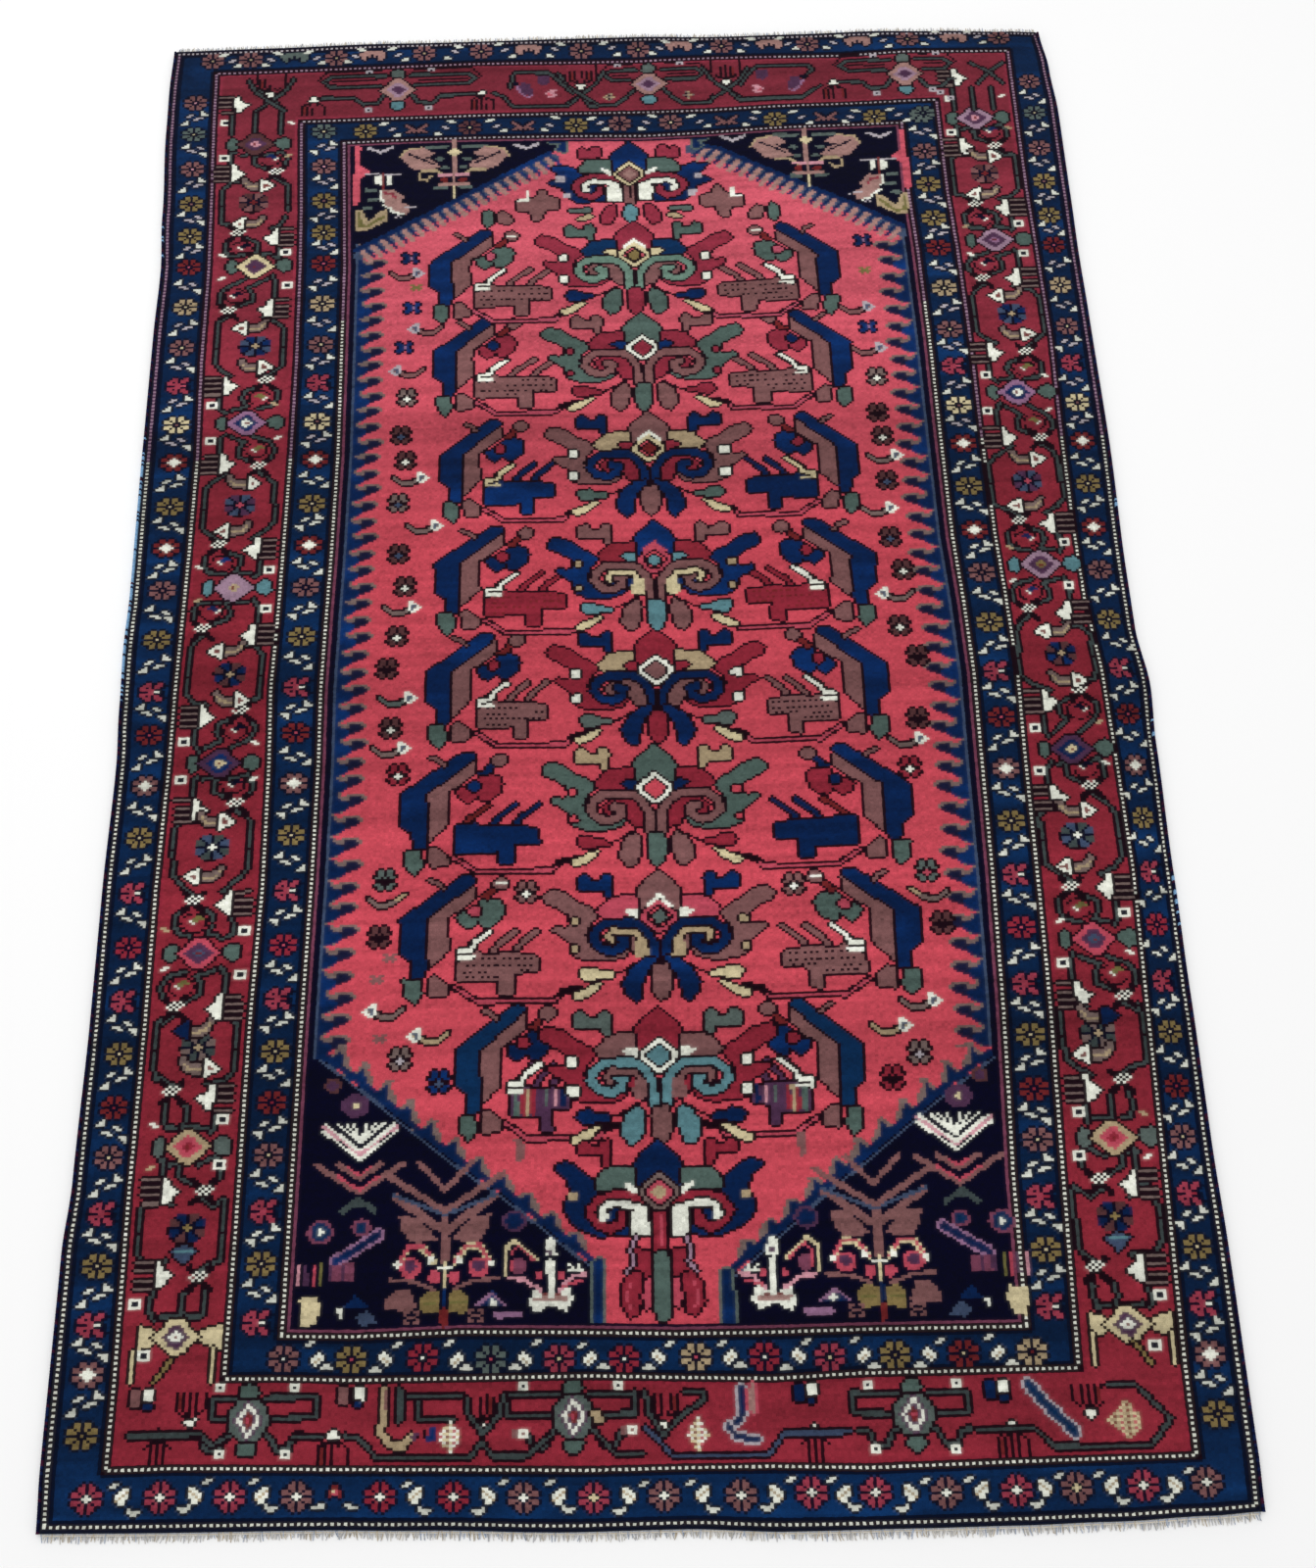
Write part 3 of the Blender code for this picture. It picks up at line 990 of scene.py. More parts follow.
def draw_field_ground(chart):
    """The red ground, and the serrated edge round it."""
    draw(chart, FIELD)
    letters = {"b": CODES["blue"], "n": CODES["ink"], "t": CODES["taupe"]}
    for flip, line, teeth in ((1, LINE_COLUMNS[3], LEFT_TEETH), (-1, LINE_COLUMNS[4], RIGHT_TEETH)):
        low, high = (int(np.searchsorted(chart.along[:, line + flip * 5], v)) for v in (493, 1640))
        for step, yarn in ((3, "night"), (4, "night"), (5, "slate"), (6, "taupe")):
            chart.yarns[low:high, line + flip * step] = CODES[yarn]
        for number in range(teeth[-1][0] + 1):
            v = np.interp(number, *zip(*teeth)) - 24
            row = int(np.searchsorted(chart.along[:, line + flip * 6], v))
            wide = (number * 5) % 3 == 0
            for up, knots in enumerate(TOOTH[::-1]):
                for over, letter in enumerate(knots[0] * wide + knots):
                    if letter != "." and low <= row + up < high:
                        chart.yarns[row + up, line + flip * (6 + over)] = letters[letter]
    for points, flip in zip(FOOT_SLOPES, (1, -1)):
        for step, at in places_along(points, 16, 34):
            tall = 0.85 + 0.25 * math.sin(step * 1.3)
            flame = [(-14, 8), (-4, 9), (2, 14), (8, 22 * tall), (17, 20 * tall), (14, 12), (20, 4), (22, -8),
                     (4, -4)]
            chart.area(put(flame, at, flip), "taupe")
            core = [(-12, 5), (-2, 6), (5, 12), (10, 17 * tall), (11, 8), (12, 0), (18, -8), (4, -4)]
            chart.area(put(core, at, flip), "blue")
        chart.band([(x + flip * 2, v + 2) for x, v in points], 8, "blue")
        chart.band([(x - flip * 2, v - 4) for x, v in points], 3, "slate")
    for points, flip in zip(HEAD_SLOPES, (1, -1)):
        chart.band([(x + flip * 5, v - 10) for x, v in points], 16, "slate")
        for _, at in places_along(points, 8, 17, 4):
            draw(chart, "band 7.5 fawn -1,-4 6,-12 15,-24 band 4.5 blue 8,-4 14,-10 21,-18", at, flip)
        chart.band([(x, v - 1) for x, v in points], 8, "blue")
    draw(chart, FIELD_CORNERS)


# The palmettes on the rug's axis: across, along, then the yarns of these parts
PALMETTE_PARTS = "cap arms flags scroll hook fill squares ring heart sides middle buds ears".split()
PALMETTES = read_rows("""677 490 wine brown ivory teal brown wine ivory ivory teal teal brown blue lichen,
    683 655 brown rose ivory blue beige brown beige rose lichen blue brown cream blue,
    683 817 green wine blue brown none wine coral ivory coral brown green wine beige,
    690 975 wine beige wine blue none brown ivory ivory brown blue wine lichen blue,
    693 1130 blue madder teal brown cream blue beige rose teal brown teal teal brown,
    691 1296 brown beige wine blue none wine ivory cream rust blue brown green blue,
    687 1455 green wine blue brown none wine wine ivory wine brown green wine brown,
    680 1610 wine sea cream sage none brown ivory cream gold green wine blue green""")
CAP = "whole cap/dark 0,58 8,51 18,43 26,33 27,22 26,8 0,4"
RING = "whole yarn/edge 0,22 7,16 14,11 21,4 21,-3 14,-10 7,-16 0,-20"
PALMETTE_HALF = """
area cap/dark 74,4 82,12 95,18 110,30 122,34 132,36 139,28 137,20 122,13 108,4 106,-8 114,-12 126,-9 129,-14
120,-21 108,-28 104,-45 90,-51 60,-52 44,-48 34,-36 31,-24 36,-22 42,-34 54,-40 68,-38 80,-30 90,-20
84,-8 76,0
area fill/dark 14,-16 26,-14 52,-12 66,-22 60,-34 34,-36 28,-47 14,-50
area arms/dark 27,26 46,26 60,23 75,8 68,-1 27,-2
area flags/rim 24,10 34,11 43,7 33,0 24,-3
band 9.5 scroll/dark 7,-56 8,-30 18,-14 30,-7 64,-7 76,-15 80,-27 70,-38 56,-41 44,-35 42,-25 51,-23
"""
PALMETTE_HOOK = """
band 6 hook/dark 22,-46 20,-30 29,-18 56,-16 62,-22 58,-28
area hook 14,-48 30,-48 32,-38 26,-24 15,-26
"""
LARGE_SQUARES = "box 5.5 5.5 squares/dark 101,-4 101,-38"
SMALL_SQUARES = "box 4 4 squares/dark 101,-4 101,-38"
PALMETTE_EAR = "area ears/dark 98,51 88,54 80,46 71,45 67,53 59,54 56,48 57,26 65,26 66,34 98,35"
CLAW = "area sides/dark 6,-48 20,-50 36,-62 46,-80 42,-92 32,-102 25,-98 23,-80 17,-66 6,-58"
PETAL = "area sides/dark 23,-56 36,-62 43,-72 45,-88 36,-99 27,-97 21,-85 19,-66"
PALMETTE_BUDS = """
band 3 dark 24,-52 48,-66 58,-69
area buds/dark 95,-60 97,-68 92,-75 80,-75 70,-72 58,-72 58,-66 72,-65 80,-60
area cream/dark 104,-91 102,-97 94,-97 82,-91 68,-78 80,-80 92,-86
"""


def palmette(chart, x, v, *yarns):
    """The tall flower on the rug's axis, both halves alike."""
    at = (x, v)
    parts = dict(zip(PALMETTE_PARTS, yarns))
    draw(chart, CAP, at, **parts)
    half = [PALMETTE_HALF, PALMETTE_EAR, CLAW if parts["sides"] == "blue" else PETAL, PALMETTE_BUDS]
    half.insert(1, LARGE_SQUARES if parts["squares"] == "ivory" else SMALL_SQUARES)
    if parts["hook"] != "none":
        half.insert(2, PALMETTE_HOOK)
    for flip in (-1, 1):
        draw(chart, " ".join(half), at, flip, rim=None if parts["flags"] == "ivory" else "dark", **parts)
    draw(chart, "whole middle/dark 8,-57 11,-66 11,-85 6,-96 0,-100", at, **parts)
    draw(chart, RING, at, yarn=parts["ring"], edge="dark")
    if parts["ring"] == "ivory":
        draw(chart, RING, at, scale=0.6, yarn=parts["heart"], edge="dark")
    else:
        draw(chart, "band 4.4 roof -14,14 0,26 14,14", at, roof="rose" if parts["cap"] == "blue" else "ivory")
        draw(chart, RING, at, scale=0.6, yarn="coral", edge="dark")
        draw(chart, RING, at, scale=0.4, yarn=parts["heart"], edge="dark")


# The palmettes nearest the two ends, which have white hooks: at the foot, then at the head
END_PALMETTES = ((672, 338), (677, 1750))
END_LEAVES = (
    "area blue/dark 120,30 107,35 95,31 74,14 70,-5 40,-20 24,-45 70,-46 90,-38 104,-26 108,-12 99,2 104,16",
    "area blue/dark 114,15 92,18 75,10 64,-5 40,-20 24,-46 77,-48 92,-36 97,-22 120,-13 100,-2",
)
END_HOOKS = """
area green/dark 72,4 72,14 60,27 27,27 27,2
area wine/dark 8,-46 24,-46 24,-20 34,-4 12,0
band 9 wine/dark 14,-10 32,-3 52,-3 70,-8 79,-20 70,-33 55,-39 44,-32 43,-24
area ivory/dark 12,-46 32,-46 33,-24 26,-14 14,-16
band 7 ivory/dark 20,-18 34,-13 54,-11 63,-15 66,-24
area ivory 12,-46 32,-46 33,-24 26,-14 14,-16
oval 5.5 0.9 ivory 64,-25
area ivory 42,12 34,10 18,1 26,-2 36,4
"""
END_PETALS = (
    """
area wine/dark 90,42 90,55 84,58 72,50 66,50 64,57 55,58 55,30 63,28 64,42 80,42
box 6 5 beige 98,-3
area wine/dark 12,-62 32,-60 32,-82 24,-92 12,-88
area wine/dark 22,-86 34,-84 44,-96 46,-116 36,-131 28,-128 24,-112
area rose/dark 13,-90 20,-94 22,-112 18,-124 13,-120
band 3 rose 36,-96 39,-112 36,-122
band 3 mauve/dark 28,-48 34,-62 30,-74 40,-86
""",
    """
area wine/dark 74,30 72,46 66,50 59,42 53,50 43,50 41,32 58,29
box 6 5 ash 100,-5 90,-35
area wine/dark 21,-53 32,-55 44,-72 42,-84 30,-87 22,-74
area lichen/dark 57,-58 89,-58 89,-66 57,-64
area beige/dark 56,-68 66,-70 78,-79 62,-78 53,-73
""",
)
END_STEMS = (
    """
band 15 wine/dark 0,-20 0,-64
band 3 rose 0,-22 0,-56
whole green/dark 6,-63 10,-76 10,-122 5,-136
""",
    """
band 15 brown/dark 0,-20 0,-46
band 3 dark 0,-22 0,-42
whole teal/dark 0,-52 8,-58 10,-68 8,-78 0,-84
""",
)
END_RINGS = (("taupe", "rose", "beige"), ("cream", "brown", "fawn"))


def end_palmette(chart, at, leaves, petals, stem, rings):
    draw(chart, CAP, at, cap="blue")
    for flip in (-1, 1):
        draw(chart, leaves + END_HOOKS + petals, at, flip)
    draw(chart, stem, at)
    for scale, yarn, edge in zip((1.0, 0.66, 0.42), rings, ("dark", "dark", None)):
        draw(chart, RING, at, scale=scale, yarn=yarn, edge=edge)


# The field's side arms: axis, the leaf's peak across and along, how wide, leaf, flower, brick, first spike,
# the brick's width
ARMS = read_rows("""677 516 551 0.88 sea blue plum ivory 0.66, 683 457 709 1.0 blue green brown ivory 0.95,
    683 455 867 1.0 blue wine blue rust 1.0, 690 479 1029 0.95 blue blue brown ivory 0.84,
    693 490 1183 0.98 blue blue wine ivory 1.0, 691 487 1345 0.88 blue blue blue cream 0.88,
    687 477 1508 0.90 blue wine brown ivory 1.08, 680 473 1656 0.94 blue green brown ivory 1.06""")
ARM = """
band 9 dark -20,-134 0,-146 8,-152 100,-152 108,-142 130,-138
band 3.4 rose -20,-134 0,-146 8,-152 100,-152 104,-148
area leaf/dark -85,-50 -85,-92 -71,-102 -69,-122 -57,-122 -52,-108 -53,-52 4,-9 5,-2 0,1 -12,1
area brown/dark -52,-52 5,-9 5,-27 -16,-42 -28,-48 -29,-64 -27,-90 -50,-112
area green/dark -80,-124 -62,-124 -58,-142 -67,-154 -79,-144
area brown/dark -50,-122 -42,-119 -28,-130 -27,-143 -49,-145
area flower/dark -18,-48 -14,-58 -4,-64 6,-58 9,-53 13,-62 25,-61 36,-52 39,-40 36,-31 24,-28 12,-30 4,-38
disc 6.5 heart/dark 4,-43
area seed/dark 8,-26 16,-22 26,-12 30,-17 20,-28
oval 9 0.85 brown/dark 36,-9
"""
BRICK = """
band 5.4 first/dark -8,-94 0,-84 22,-68
band 5.4 brick/dark 26,-94 34,-84 56,-68
band 5.4 brick/dark 54,-94 62,-84 84,-68
area brick/dark -18,-92 -18,-127 36,-127 36,-143 54,-143 54,-118 84,-118 84,-99 60,-95 14,-95 6,-90
"""
BRICK_STRIPES = """
band 5 green -8,-124 -8,-98 band 5 wine 4,-124 4,-98 band 5 beige 12,-124 12,-98 band 5 wine 20,-124 20,-98
band 5 lichen 44,-114 44,-98 band 5 pink 60,-114 60,-98 band 5 blue 74,-114 74,-98
"""
WHITE_SPIKE = """
band 5 spike/dark -14,-98 -14,-91 0,-90 5,-80 22,-68
band 4.6 spike -14,-98 2,-98
band 2 dark -14,-94 -6,-94
"""


def side_arm(chart, at, flip, wide, leaf, flower, brick, spike, brick_wide):
    """The bent leaf at the side of the field, with its flower, its bud, its brick and its vine."""
    heart = {"green": "rose", "wine": "blue"}.get(flower, "wine")
    seed = "blue" if (flower, brick) == ("wine", "blue") else "rust"
    draw(chart, ARM, at, flip, wide=wide, leaf=leaf, flower=flower, heart=heart, seed=seed)
    if flower == "green":
        draw(chart, "band 3.4 ivory 30,-9 42,-9", at, flip, wide=wide)
    draw(chart, "band 4 brown/dark -50,-4 -40,-8 -34,-14", at, flip, wide=wide)
    draw(chart, BRICK, at, flip, wide=brick_wide, brick=brick, first=brick if spike == "ivory" else spike)
    flecks = {"brown": "dark", "wine": "rust"}.get(brick)
    for over in range(-10, 80, 9) if flecks else ():
        for rise in (-101, -109, -116, -123):
            if over < 32 or rise > -118:
                spot = over + (4.5 if rise % 2 else 0)
                fleck = [(spot * brick_wide, rise), ((spot + 2) * brick_wide, rise)]
                chart.band(put(fleck, at, flip), 2.4, flecks)
    if brick == "plum":
        draw(chart, BRICK_STRIPES, at, flip, wide=brick_wide)
    if spike in ("ivory", "cream"):
        draw(chart, WHITE_SPIKE, at, flip, spike=spike)


# Small flowers of the field: across, along, petals, heart
SPRIGS = read_rows("""350 707 lichen dark, 343 635 cocoa dark, 362 841 wine ivory, 350 903 cocoa ivory,
    344 984 cocoa dark, 355 1028 cocoa ivory, 366 1098 cocoa ivory, 356 1146 cocoa slate,
    355 1221 taupe slate, 362 1285 cocoa ivory, 354 1324 cocoa slate, 374 492 taupe ash,
    418 463 blue slate, 363 1383 taupe ivory, 1005 705 lichen rose, 1018 640 cocoa dark,
    997 837 wine ivory, 1015 900 cocoa dark, 1022 985 cocoa dark, 1003 1027 cocoa ivory,
    1012 1105 cocoa ivory, 1002 1155 cocoa slate, 1003 1238 cocoa slate, 1005 1305 cocoa ivory,
    1000 1342 cocoa dark, 978 487 taupe ash, 943 458 wine dark, 1005 1400 taupe ivory,
    521 688 brown ivory, 846 690 brown ivory""")
CLOVERS = read_rows("358 1463, 367 1526, 363 1610, 1000 1478, 1002 1622")
SEEDLINGS = read_rows("345 582 brown, 350 514 brown, 358 607 brown, 370 1560 olive, 1002 1570 olive")
# Small birds: across, along, 1 when the head is on the right, body, head
COMMA_BIRDS = read_rows("""352 872 1 taupe ivory, 358 938 1 lichen ivory, 362 1065 1 taupe ivory,
    390 1182 1 taupe ivory, 370 1255 1 taupe ivory, 352 543 -1 taupe ivory, 408 515 -1 beige ivory,
    361 1424 -1 brown ash, 385 1491 -1 brown ash, 355 1584 1 brown ash, 1000 871 1 taupe ivory,
    1000 1070 -1 taupe ivory, 990 1192 1 taupe ivory, 1002 1271 1 taupe ivory, 985 542 1 taupe ivory,
    945 515 1 beige ivory, 998 1440 1 brown ash, 985 1508 1 brown ash""")
HEAD_BRICK = """
area brown/dark -30,8 -12,8 -2,14 2,24 10,24 14,12 30,8 30,-10 10,-12 2,-30 -8,-30 -12,-14 -30,-12
band 4.6 ivory -28,6 -15,6 -15,20
area green/dark -80,-14 -70,-8 -64,-18 -64,-34 -74,-40 -80,-30
area brown/dark -58,-14 -48,-12 -36,-26 -40,-36 -56,-32
"""


def weave_field(chart):
    for axis, across, along, *yarns in ARMS:
        side_arm(chart, (across, along), 1, *yarns)
        side_arm(chart, (2 * axis - across, along), -1, *yarns)
    for row in PALMETTES:
        palmette(chart, *row)
    for parts in zip(END_PALMETTES, END_LEAVES, END_PETALS, END_STEMS, END_RINGS):
        end_palmette(chart, *parts)
    for x, v, petals, heart in SPRIGS:
        chart.stitches((x, v), SPRIG, {"P": petals, "H": heart, "o": "dark"})
    for at in CLOVERS:
        chart.stitches(at, CLOVER, {"P": "blue", "H": "lilac", "o": "night"})
    for x, v, flip, body, head in COMMA_BIRDS:
        chart.stitches((x, v), COMMA_BIRD, {"o": "dark", "t": body, "w": head, "n": "slate"}, flip)
    for x, v, flip in ((354, 678, 1), (1007, 674, -1)):
        chart.stitches((x, v), COMMA, {"o": "dark", "t": "taupe", "c": "beige"}, flip)
    for x, v, yarn in SEEDLINGS:
        chart.stitches((x, v), SEEDLING, {"g": yarn})
    for flip, x in ((1, 545), (-1, 809)):
        draw(chart, HEAD_BRICK, (x, 1702), flip)
    for x in (515, 837):
        draw(chart, "area brown -7,400 4,400 4,376 -4,374", (x, 0))


# The dark corners of the field, with their trees, plants and birds, as the left ones lie
FOOT_SPANDREL = """
band 3.4 ivory 289,412 332,380 375,412
band 3.4 pink 289,417 332,385 375,417
band 3.4 ivory 292,419 332,389 372,419
band 3.2 ivory 324,420 332,398 340,420
band 3.2 ivory 315,420 332,398 349,420
band 3.2 ivory 305,420 332,398 359,420
band 6.5 brown 283,374.38 332,344 381,374.38
band 3 rose 307.5,362.19 332,347 356.5,362.19
band 6.5 brown 308,374.88 332,360 356,374.88
band 3 rose 320,370.44 332,363 344,370.44
band 6 smoke 314,324 332,337 350,324
band 5 smoke 322,330 342,330
oval 15 0.85 mulberry 290,302 oval 11 0.85 sea 290,302 disc 3.5 ivory 290,302
oval 14 0.85 plum 508,310 oval 10 0.85 blue 508,310
oval 11 0.85 mulberry 336,306 oval 7 0.85 sea 336,306
oval 16 0.85 plum 325,440 disc 3.5 cream 325,440
oval 10 0.85 cocoa 298,463 oval 6 0.85 plum 298,463
band 14 lilac 308,270 356,298
band 8 blue 308,270 356,298
area mulberry 300,268 328,268 330,250 300,250
band 4 plum 304,266 304,252
band 4 plum 316,266 316,252
band 4 pink 268,267 268,247 band 4 plum 276,267 276,247 band 4 rose 284,267 284,247
band 4 olive 292,267 292,247
area cream 270,232 290,235 294,221 287,205 272,202
area blue 318,222 332,236 346,222
area slate 332,212 346,220 358,206 340,202
area ivory 310,220 318,222 316,210
band 10 brown 430,270 430,322
band 9 brown 374,338 430,300 486,338
band 4 slate 372,340 430,318 488,340
band 7 brown 364,362 430,322 496,362
band 6 brown 400,375 430,345 460,375
"""
FOOT_TREE_HALF = """
area brown 8,292 30,316 52,318 48,302 40,290 30,288
band 7 cream 12,268 24,284 40,284 50,268
band 4 rose 12,269 24,285 40,285 50,269
oval 12 0.9 rose 38,262
oval 7 0.9 plum 38,264
disc 4 ivory 52,266
disc 4 ivory 16,270
band 4 brown 60,250 34,248 12,240
disc 7 rose 11,252
area gold 4,215 4,236 18,238 28,230 24,214
band 2.6 olive 8,226 24,226
"""
FOOT_PLANTS = """
band 5 cream 430,266 430,240
band 3.4 ivory 422,262 438,262
band 6 blue 430,238 430,222
band 8 rust 430,216 430,204
area brown 366,220 366,230 376,240 392,240 400,222 396,216
area blue 464,222 482,238 500,222
band 3 lilac 466,222 482,234 498,222
disc 4 ivory 484,225
band 8 lilac 488,212 514,212
area ivory 524,224 530,238 545,232 552,232 568,240 574,226 566,214 552,220 546,220 530,212
band 5 fawn 532,227 566,227
band 3 rust 540,231 558,231
band 8 ivory 549,232 548,266
area ivory 541,272 543,288 548,292 553,288 556,272
disc 3.5 plum 548,276
band 4.6 cream 498,254 498,280 509,289 532,268
disc 9 mulberry 512,262
band 3 rose 504,258 504,274 512,284 530,268
band 4.4 pink 502,250 518,248 538,236
band 4.4 pink 558,236 572,250 586,252
band 3 rose 562,240 582,246
disc 4 rose 536,252
disc 4 rose 560,252
"""
HEAD_SPANDREL = """
band 9 coral 282,1712 282,1810
area coral 284,1780 302,1766 286,1752
area beige 282,1700 285,1663 302,1664 330,1680 329,1700 318,1696 302,1679 296,1690 292,1700
band 4.5 olive 288,1694 290,1671 302,1670 324,1688
band 2.6 ash 294,1762 344,1760
area ivory 308,1757 319,1759 318,1742 310,1744
area ivory 324,1759 333,1759 334,1744 328,1742
band 3 rust 321,1764 321,1736
area fawn 315,1734 336,1735 352,1719 346,1712 361,1703 357,1690 340,1692 326,1706 318,1716
band 3.4 wine 322,1728 334,1726 340,1718
band 3.4 ivory 316,1732 317,1718 322,1714
band 3.2 ivory 322,1707 332,1700 336,1694 350,1690
band 2.6 ash 350,1703 368,1701
band 6 lichen 296,1734 310,1734 band 6 lichen 300,1717 312,1717 band 6 lichen 295.5,1702 304.5,1702
band 6 lichen 382,1808 412,1808 band 6 lichen 435,1808 469,1808 band 6 lichen 398.5,1786 405.5,1786
band 6 lichen 438.5,1786 445.5,1786 band 6 lichen 407,1770 413,1770 band 6 lichen 433,1770 439,1770
band 6 lichen 397,1735 411,1735 band 6 lichen 433,1735 447,1735
band 6.5 fawn 423,1756 423,1818
area cream 423,1806 434,1798 423,1790 412,1798
"""
HEAD_WING = """
area fawn 81,1790 73,1804 47,1808 27,1796 38,1790 50,1793 28,1782 20,1771 46,1765 63,1771 72,1783
band 3 night 66,1796 48,1787 30,1777
band 3 beige 80,1790 72,1803 48,1807
band 4.4 beige 46,1765 26,1766 14,1756
oval 6 0.8 rust 13,1748
"""
HEAD_STALK = """
band 3.6 beige 372,1761 374,1751 384,1748 390,1756
band 4 pink 402,1757 444,1757
band 4 fawn 402,1740 444,1740
band 6 fawn 423,1756 423,1740
band 4.6 cream 423,1736 423,1716
band 4.6 ash 298,1809 315,1801 332,1809
band 4.6 ash 511,1809 528,1801 545,1809
"""


def weave_spandrel(chart, at, flip, ground, stem, half, rest):
    """One dark corner: what lies beside the tree, the tree's two halves about its stem, and the rest."""
    draw(chart, ground, at, flip)
    for side in (-1, 1):
        draw(chart, half, put([(stem, 0)], at, flip)[0], side)
    draw(chart, rest, at, flip)


def weave_spandrels(chart):
    for at, flip in (((0, 0), 1), ((1344, -2), -1)):
        weave_spandrel(chart, at, flip, FOOT_SPANDREL, 430, FOOT_TREE_HALF, FOOT_PLANTS)
        for spot in put([(392, 210), (462, 210)], at, flip):
            chart.stitches(spot, KNOTTED_CROSS, {"b": "brown"})
        chart.stitches(*put([(575, 258)], at, flip), ("w..w.", ".w.w.", "wwwww"), {"w": "ivory"}, flip)
    for at, flip in (((0, 0), 1), ((1358, 4), -1)):
        weave_spandrel(chart, at, flip, HEAD_SPANDREL, 423, HEAD_WING, HEAD_STALK)
        chart.stitches(*put([(342, 1684)], at, flip), (".w.", "w.w"), ASH)


ABRASH = (
    # along, how light all the wool is dyed there, and the borders' madder
    (0, 1.0, 1.0), (200, 0.95, 1.0), (300, 1.02, 0.96), (460, 0.98, 0.92), (520, 0.94, 0.96),
    (600, 1.03, 0.9),
    (700, 1.05, 0.9), (830, 0.95, 0.92), (950, 0.91, 0.84), (985, 0.94, 0.72), (1020, 0.98, 0.9),
    (1050, 1.0, 0.9), (1200, 0.97, 0.92), (1335, 0.88, 0.94), (1370, 1.03, 0.9), (1650, 1.05, 0.86),
    (1812, 1.03, 0.78), (1860, 1.0, 0.72), (2000, 1.0, 0.68),
)
LIGHTNESS = 0.86
# The reds, which are paler towards the head
FADING = ("coral", "madder", "wine", "rose")


def linear(colour):
    """A screen colour as light."""
    share = np.asarray(colour, float) / 255
    return np.where(share <= 0.04045, share / 12.92, ((share + 0.055) / 1.055) ** 2.4)


def smooth_noise(random, shape, cells):
    """Slow random changes over the rug, from -1 to 1."""
    coarse = random.uniform(-1, 1, (cells[0] + 2, cells[1] + 2))
    rows = np.linspace(0, cells[0], shape[0])
    columns = np.linspace(0, cells[1], shape[1])
    r, c = rows.astype(int), columns.astype(int)
    fr, fc = rows - r, columns - c
    fr, fc = (fr * fr * (3 - 2 * fr))[:, None], (fc * fc * (3 - 2 * fc))[None, :]
    low = coarse[r][:, c] * (1 - fc) + coarse[r][:, c + 1] * fc
    high = coarse[r + 1][:, c] * (1 - fc) + coarse[r + 1][:, c + 1] * fc
    return low * (1 - fr) + high * fr


def dye(chart, random):
    """Each knot's colour: its yarn, dyed unevenly in bands along the rug, as handspun wool is."""
    colours = linear(list(YARNS.values()))[chart.yarns]
    shape = chart.yarns.shape
    along = chart.along.mean(1)
    places, all_wool, madder = zip(*ABRASH)
    bands = np.interp(along, places, all_wool)[:, None]
    streaks = smooth_noise(random, shape, (330, 6)) * 0.17 + smooth_noise(random, shape, (120, 3)) * 0.09
    patches = smooth_noise(random, shape, (30, 12)) * 0.08
    knots = random.normal(0, 0.1, shape)
    light = LIGHTNESS * bands ** 1.6 * (1 + streaks + patches + knots)
    border = chart.yarns == CODES["madder"]
    mottled = 1 + smooth_noise(random, shape, (70, 26)) * 0.16
    light = np.where(border, light * mottled * np.interp(along, places, madder)[:, None], light)
    colours = colours * light[..., None]
    red = np.isin(chart.yarns, [CODES[yarn] for yarn in FADING])
    faded = np.interp(along, (0, 1150, 1550, 2000), (1.0, 1.0, 1.32, 1.42))
    colours[..., 1:] *= np.where(red, faded[:, None], 1.0)[..., None]
    blue = np.isin(chart.yarns, [CODES["guard"], CODES["blue"]])
    pale = np.clip(smooth_noise(random, shape, (60, 6)) + smooth_noise(random, shape, (150, 30)) * 0.5, 0, 1)
    colours[blue] *= (1 + pale[blue] * 1.1)[:, None]
    foot = np.interp(along, (0, 60, 90, 600, 900), (1.35, 1.35, 0.84, 0.84, 1.0))[:, None] * np.ones(shape)
    colours[blue] *= foot[blue][:, None]
    return np.clip(colours, 0.0005, 0.95)


def weave(chart):
    """Ties the whole pattern."""
    lay_grounds(chart)
    weave_side_guards(chart)
    weave_end_guards(chart)
    ground = chart.yarns == CODES["guard"]
    chart.yarns[ground & grown(~ground)] = CODES["navy"]
    weave_side_borders(chart)
    weave_foot_border(chart)
    weave_head_border(chart)
    weave_field(chart)
    weave_spandrels(chart)


# How the knots stand: unevenly, the dark ones lower, and each tuft's colour spreading into its neighbours
KNOT_UNEVENNESS = 0.00016
KNOT_STRAY = 0.00022
DARK_DEPTH = 0.00035
TUFT_SPREAD = 0.3
DARK_SPREAD = 0.1
PILE_FOOT = 0.0007
BACK_HEIGHT = 0.0006
BACK_INSET = 0.0004

# How the pile is cut into strips, and how many lanes a long piece takes on its flat map
STRIPS = 7
PILE_LANES = 3
CORD_LANES = 12

# The side cords' turns of wool, and the fringes' warps
CORD_TURNS = 690
STEPS_PER_TURN = 4
TURN_SLANT = 0.12
STRANDS = 730
STRAND_HALF_WIDTH = 0.00075
WEB_STEPS = 600


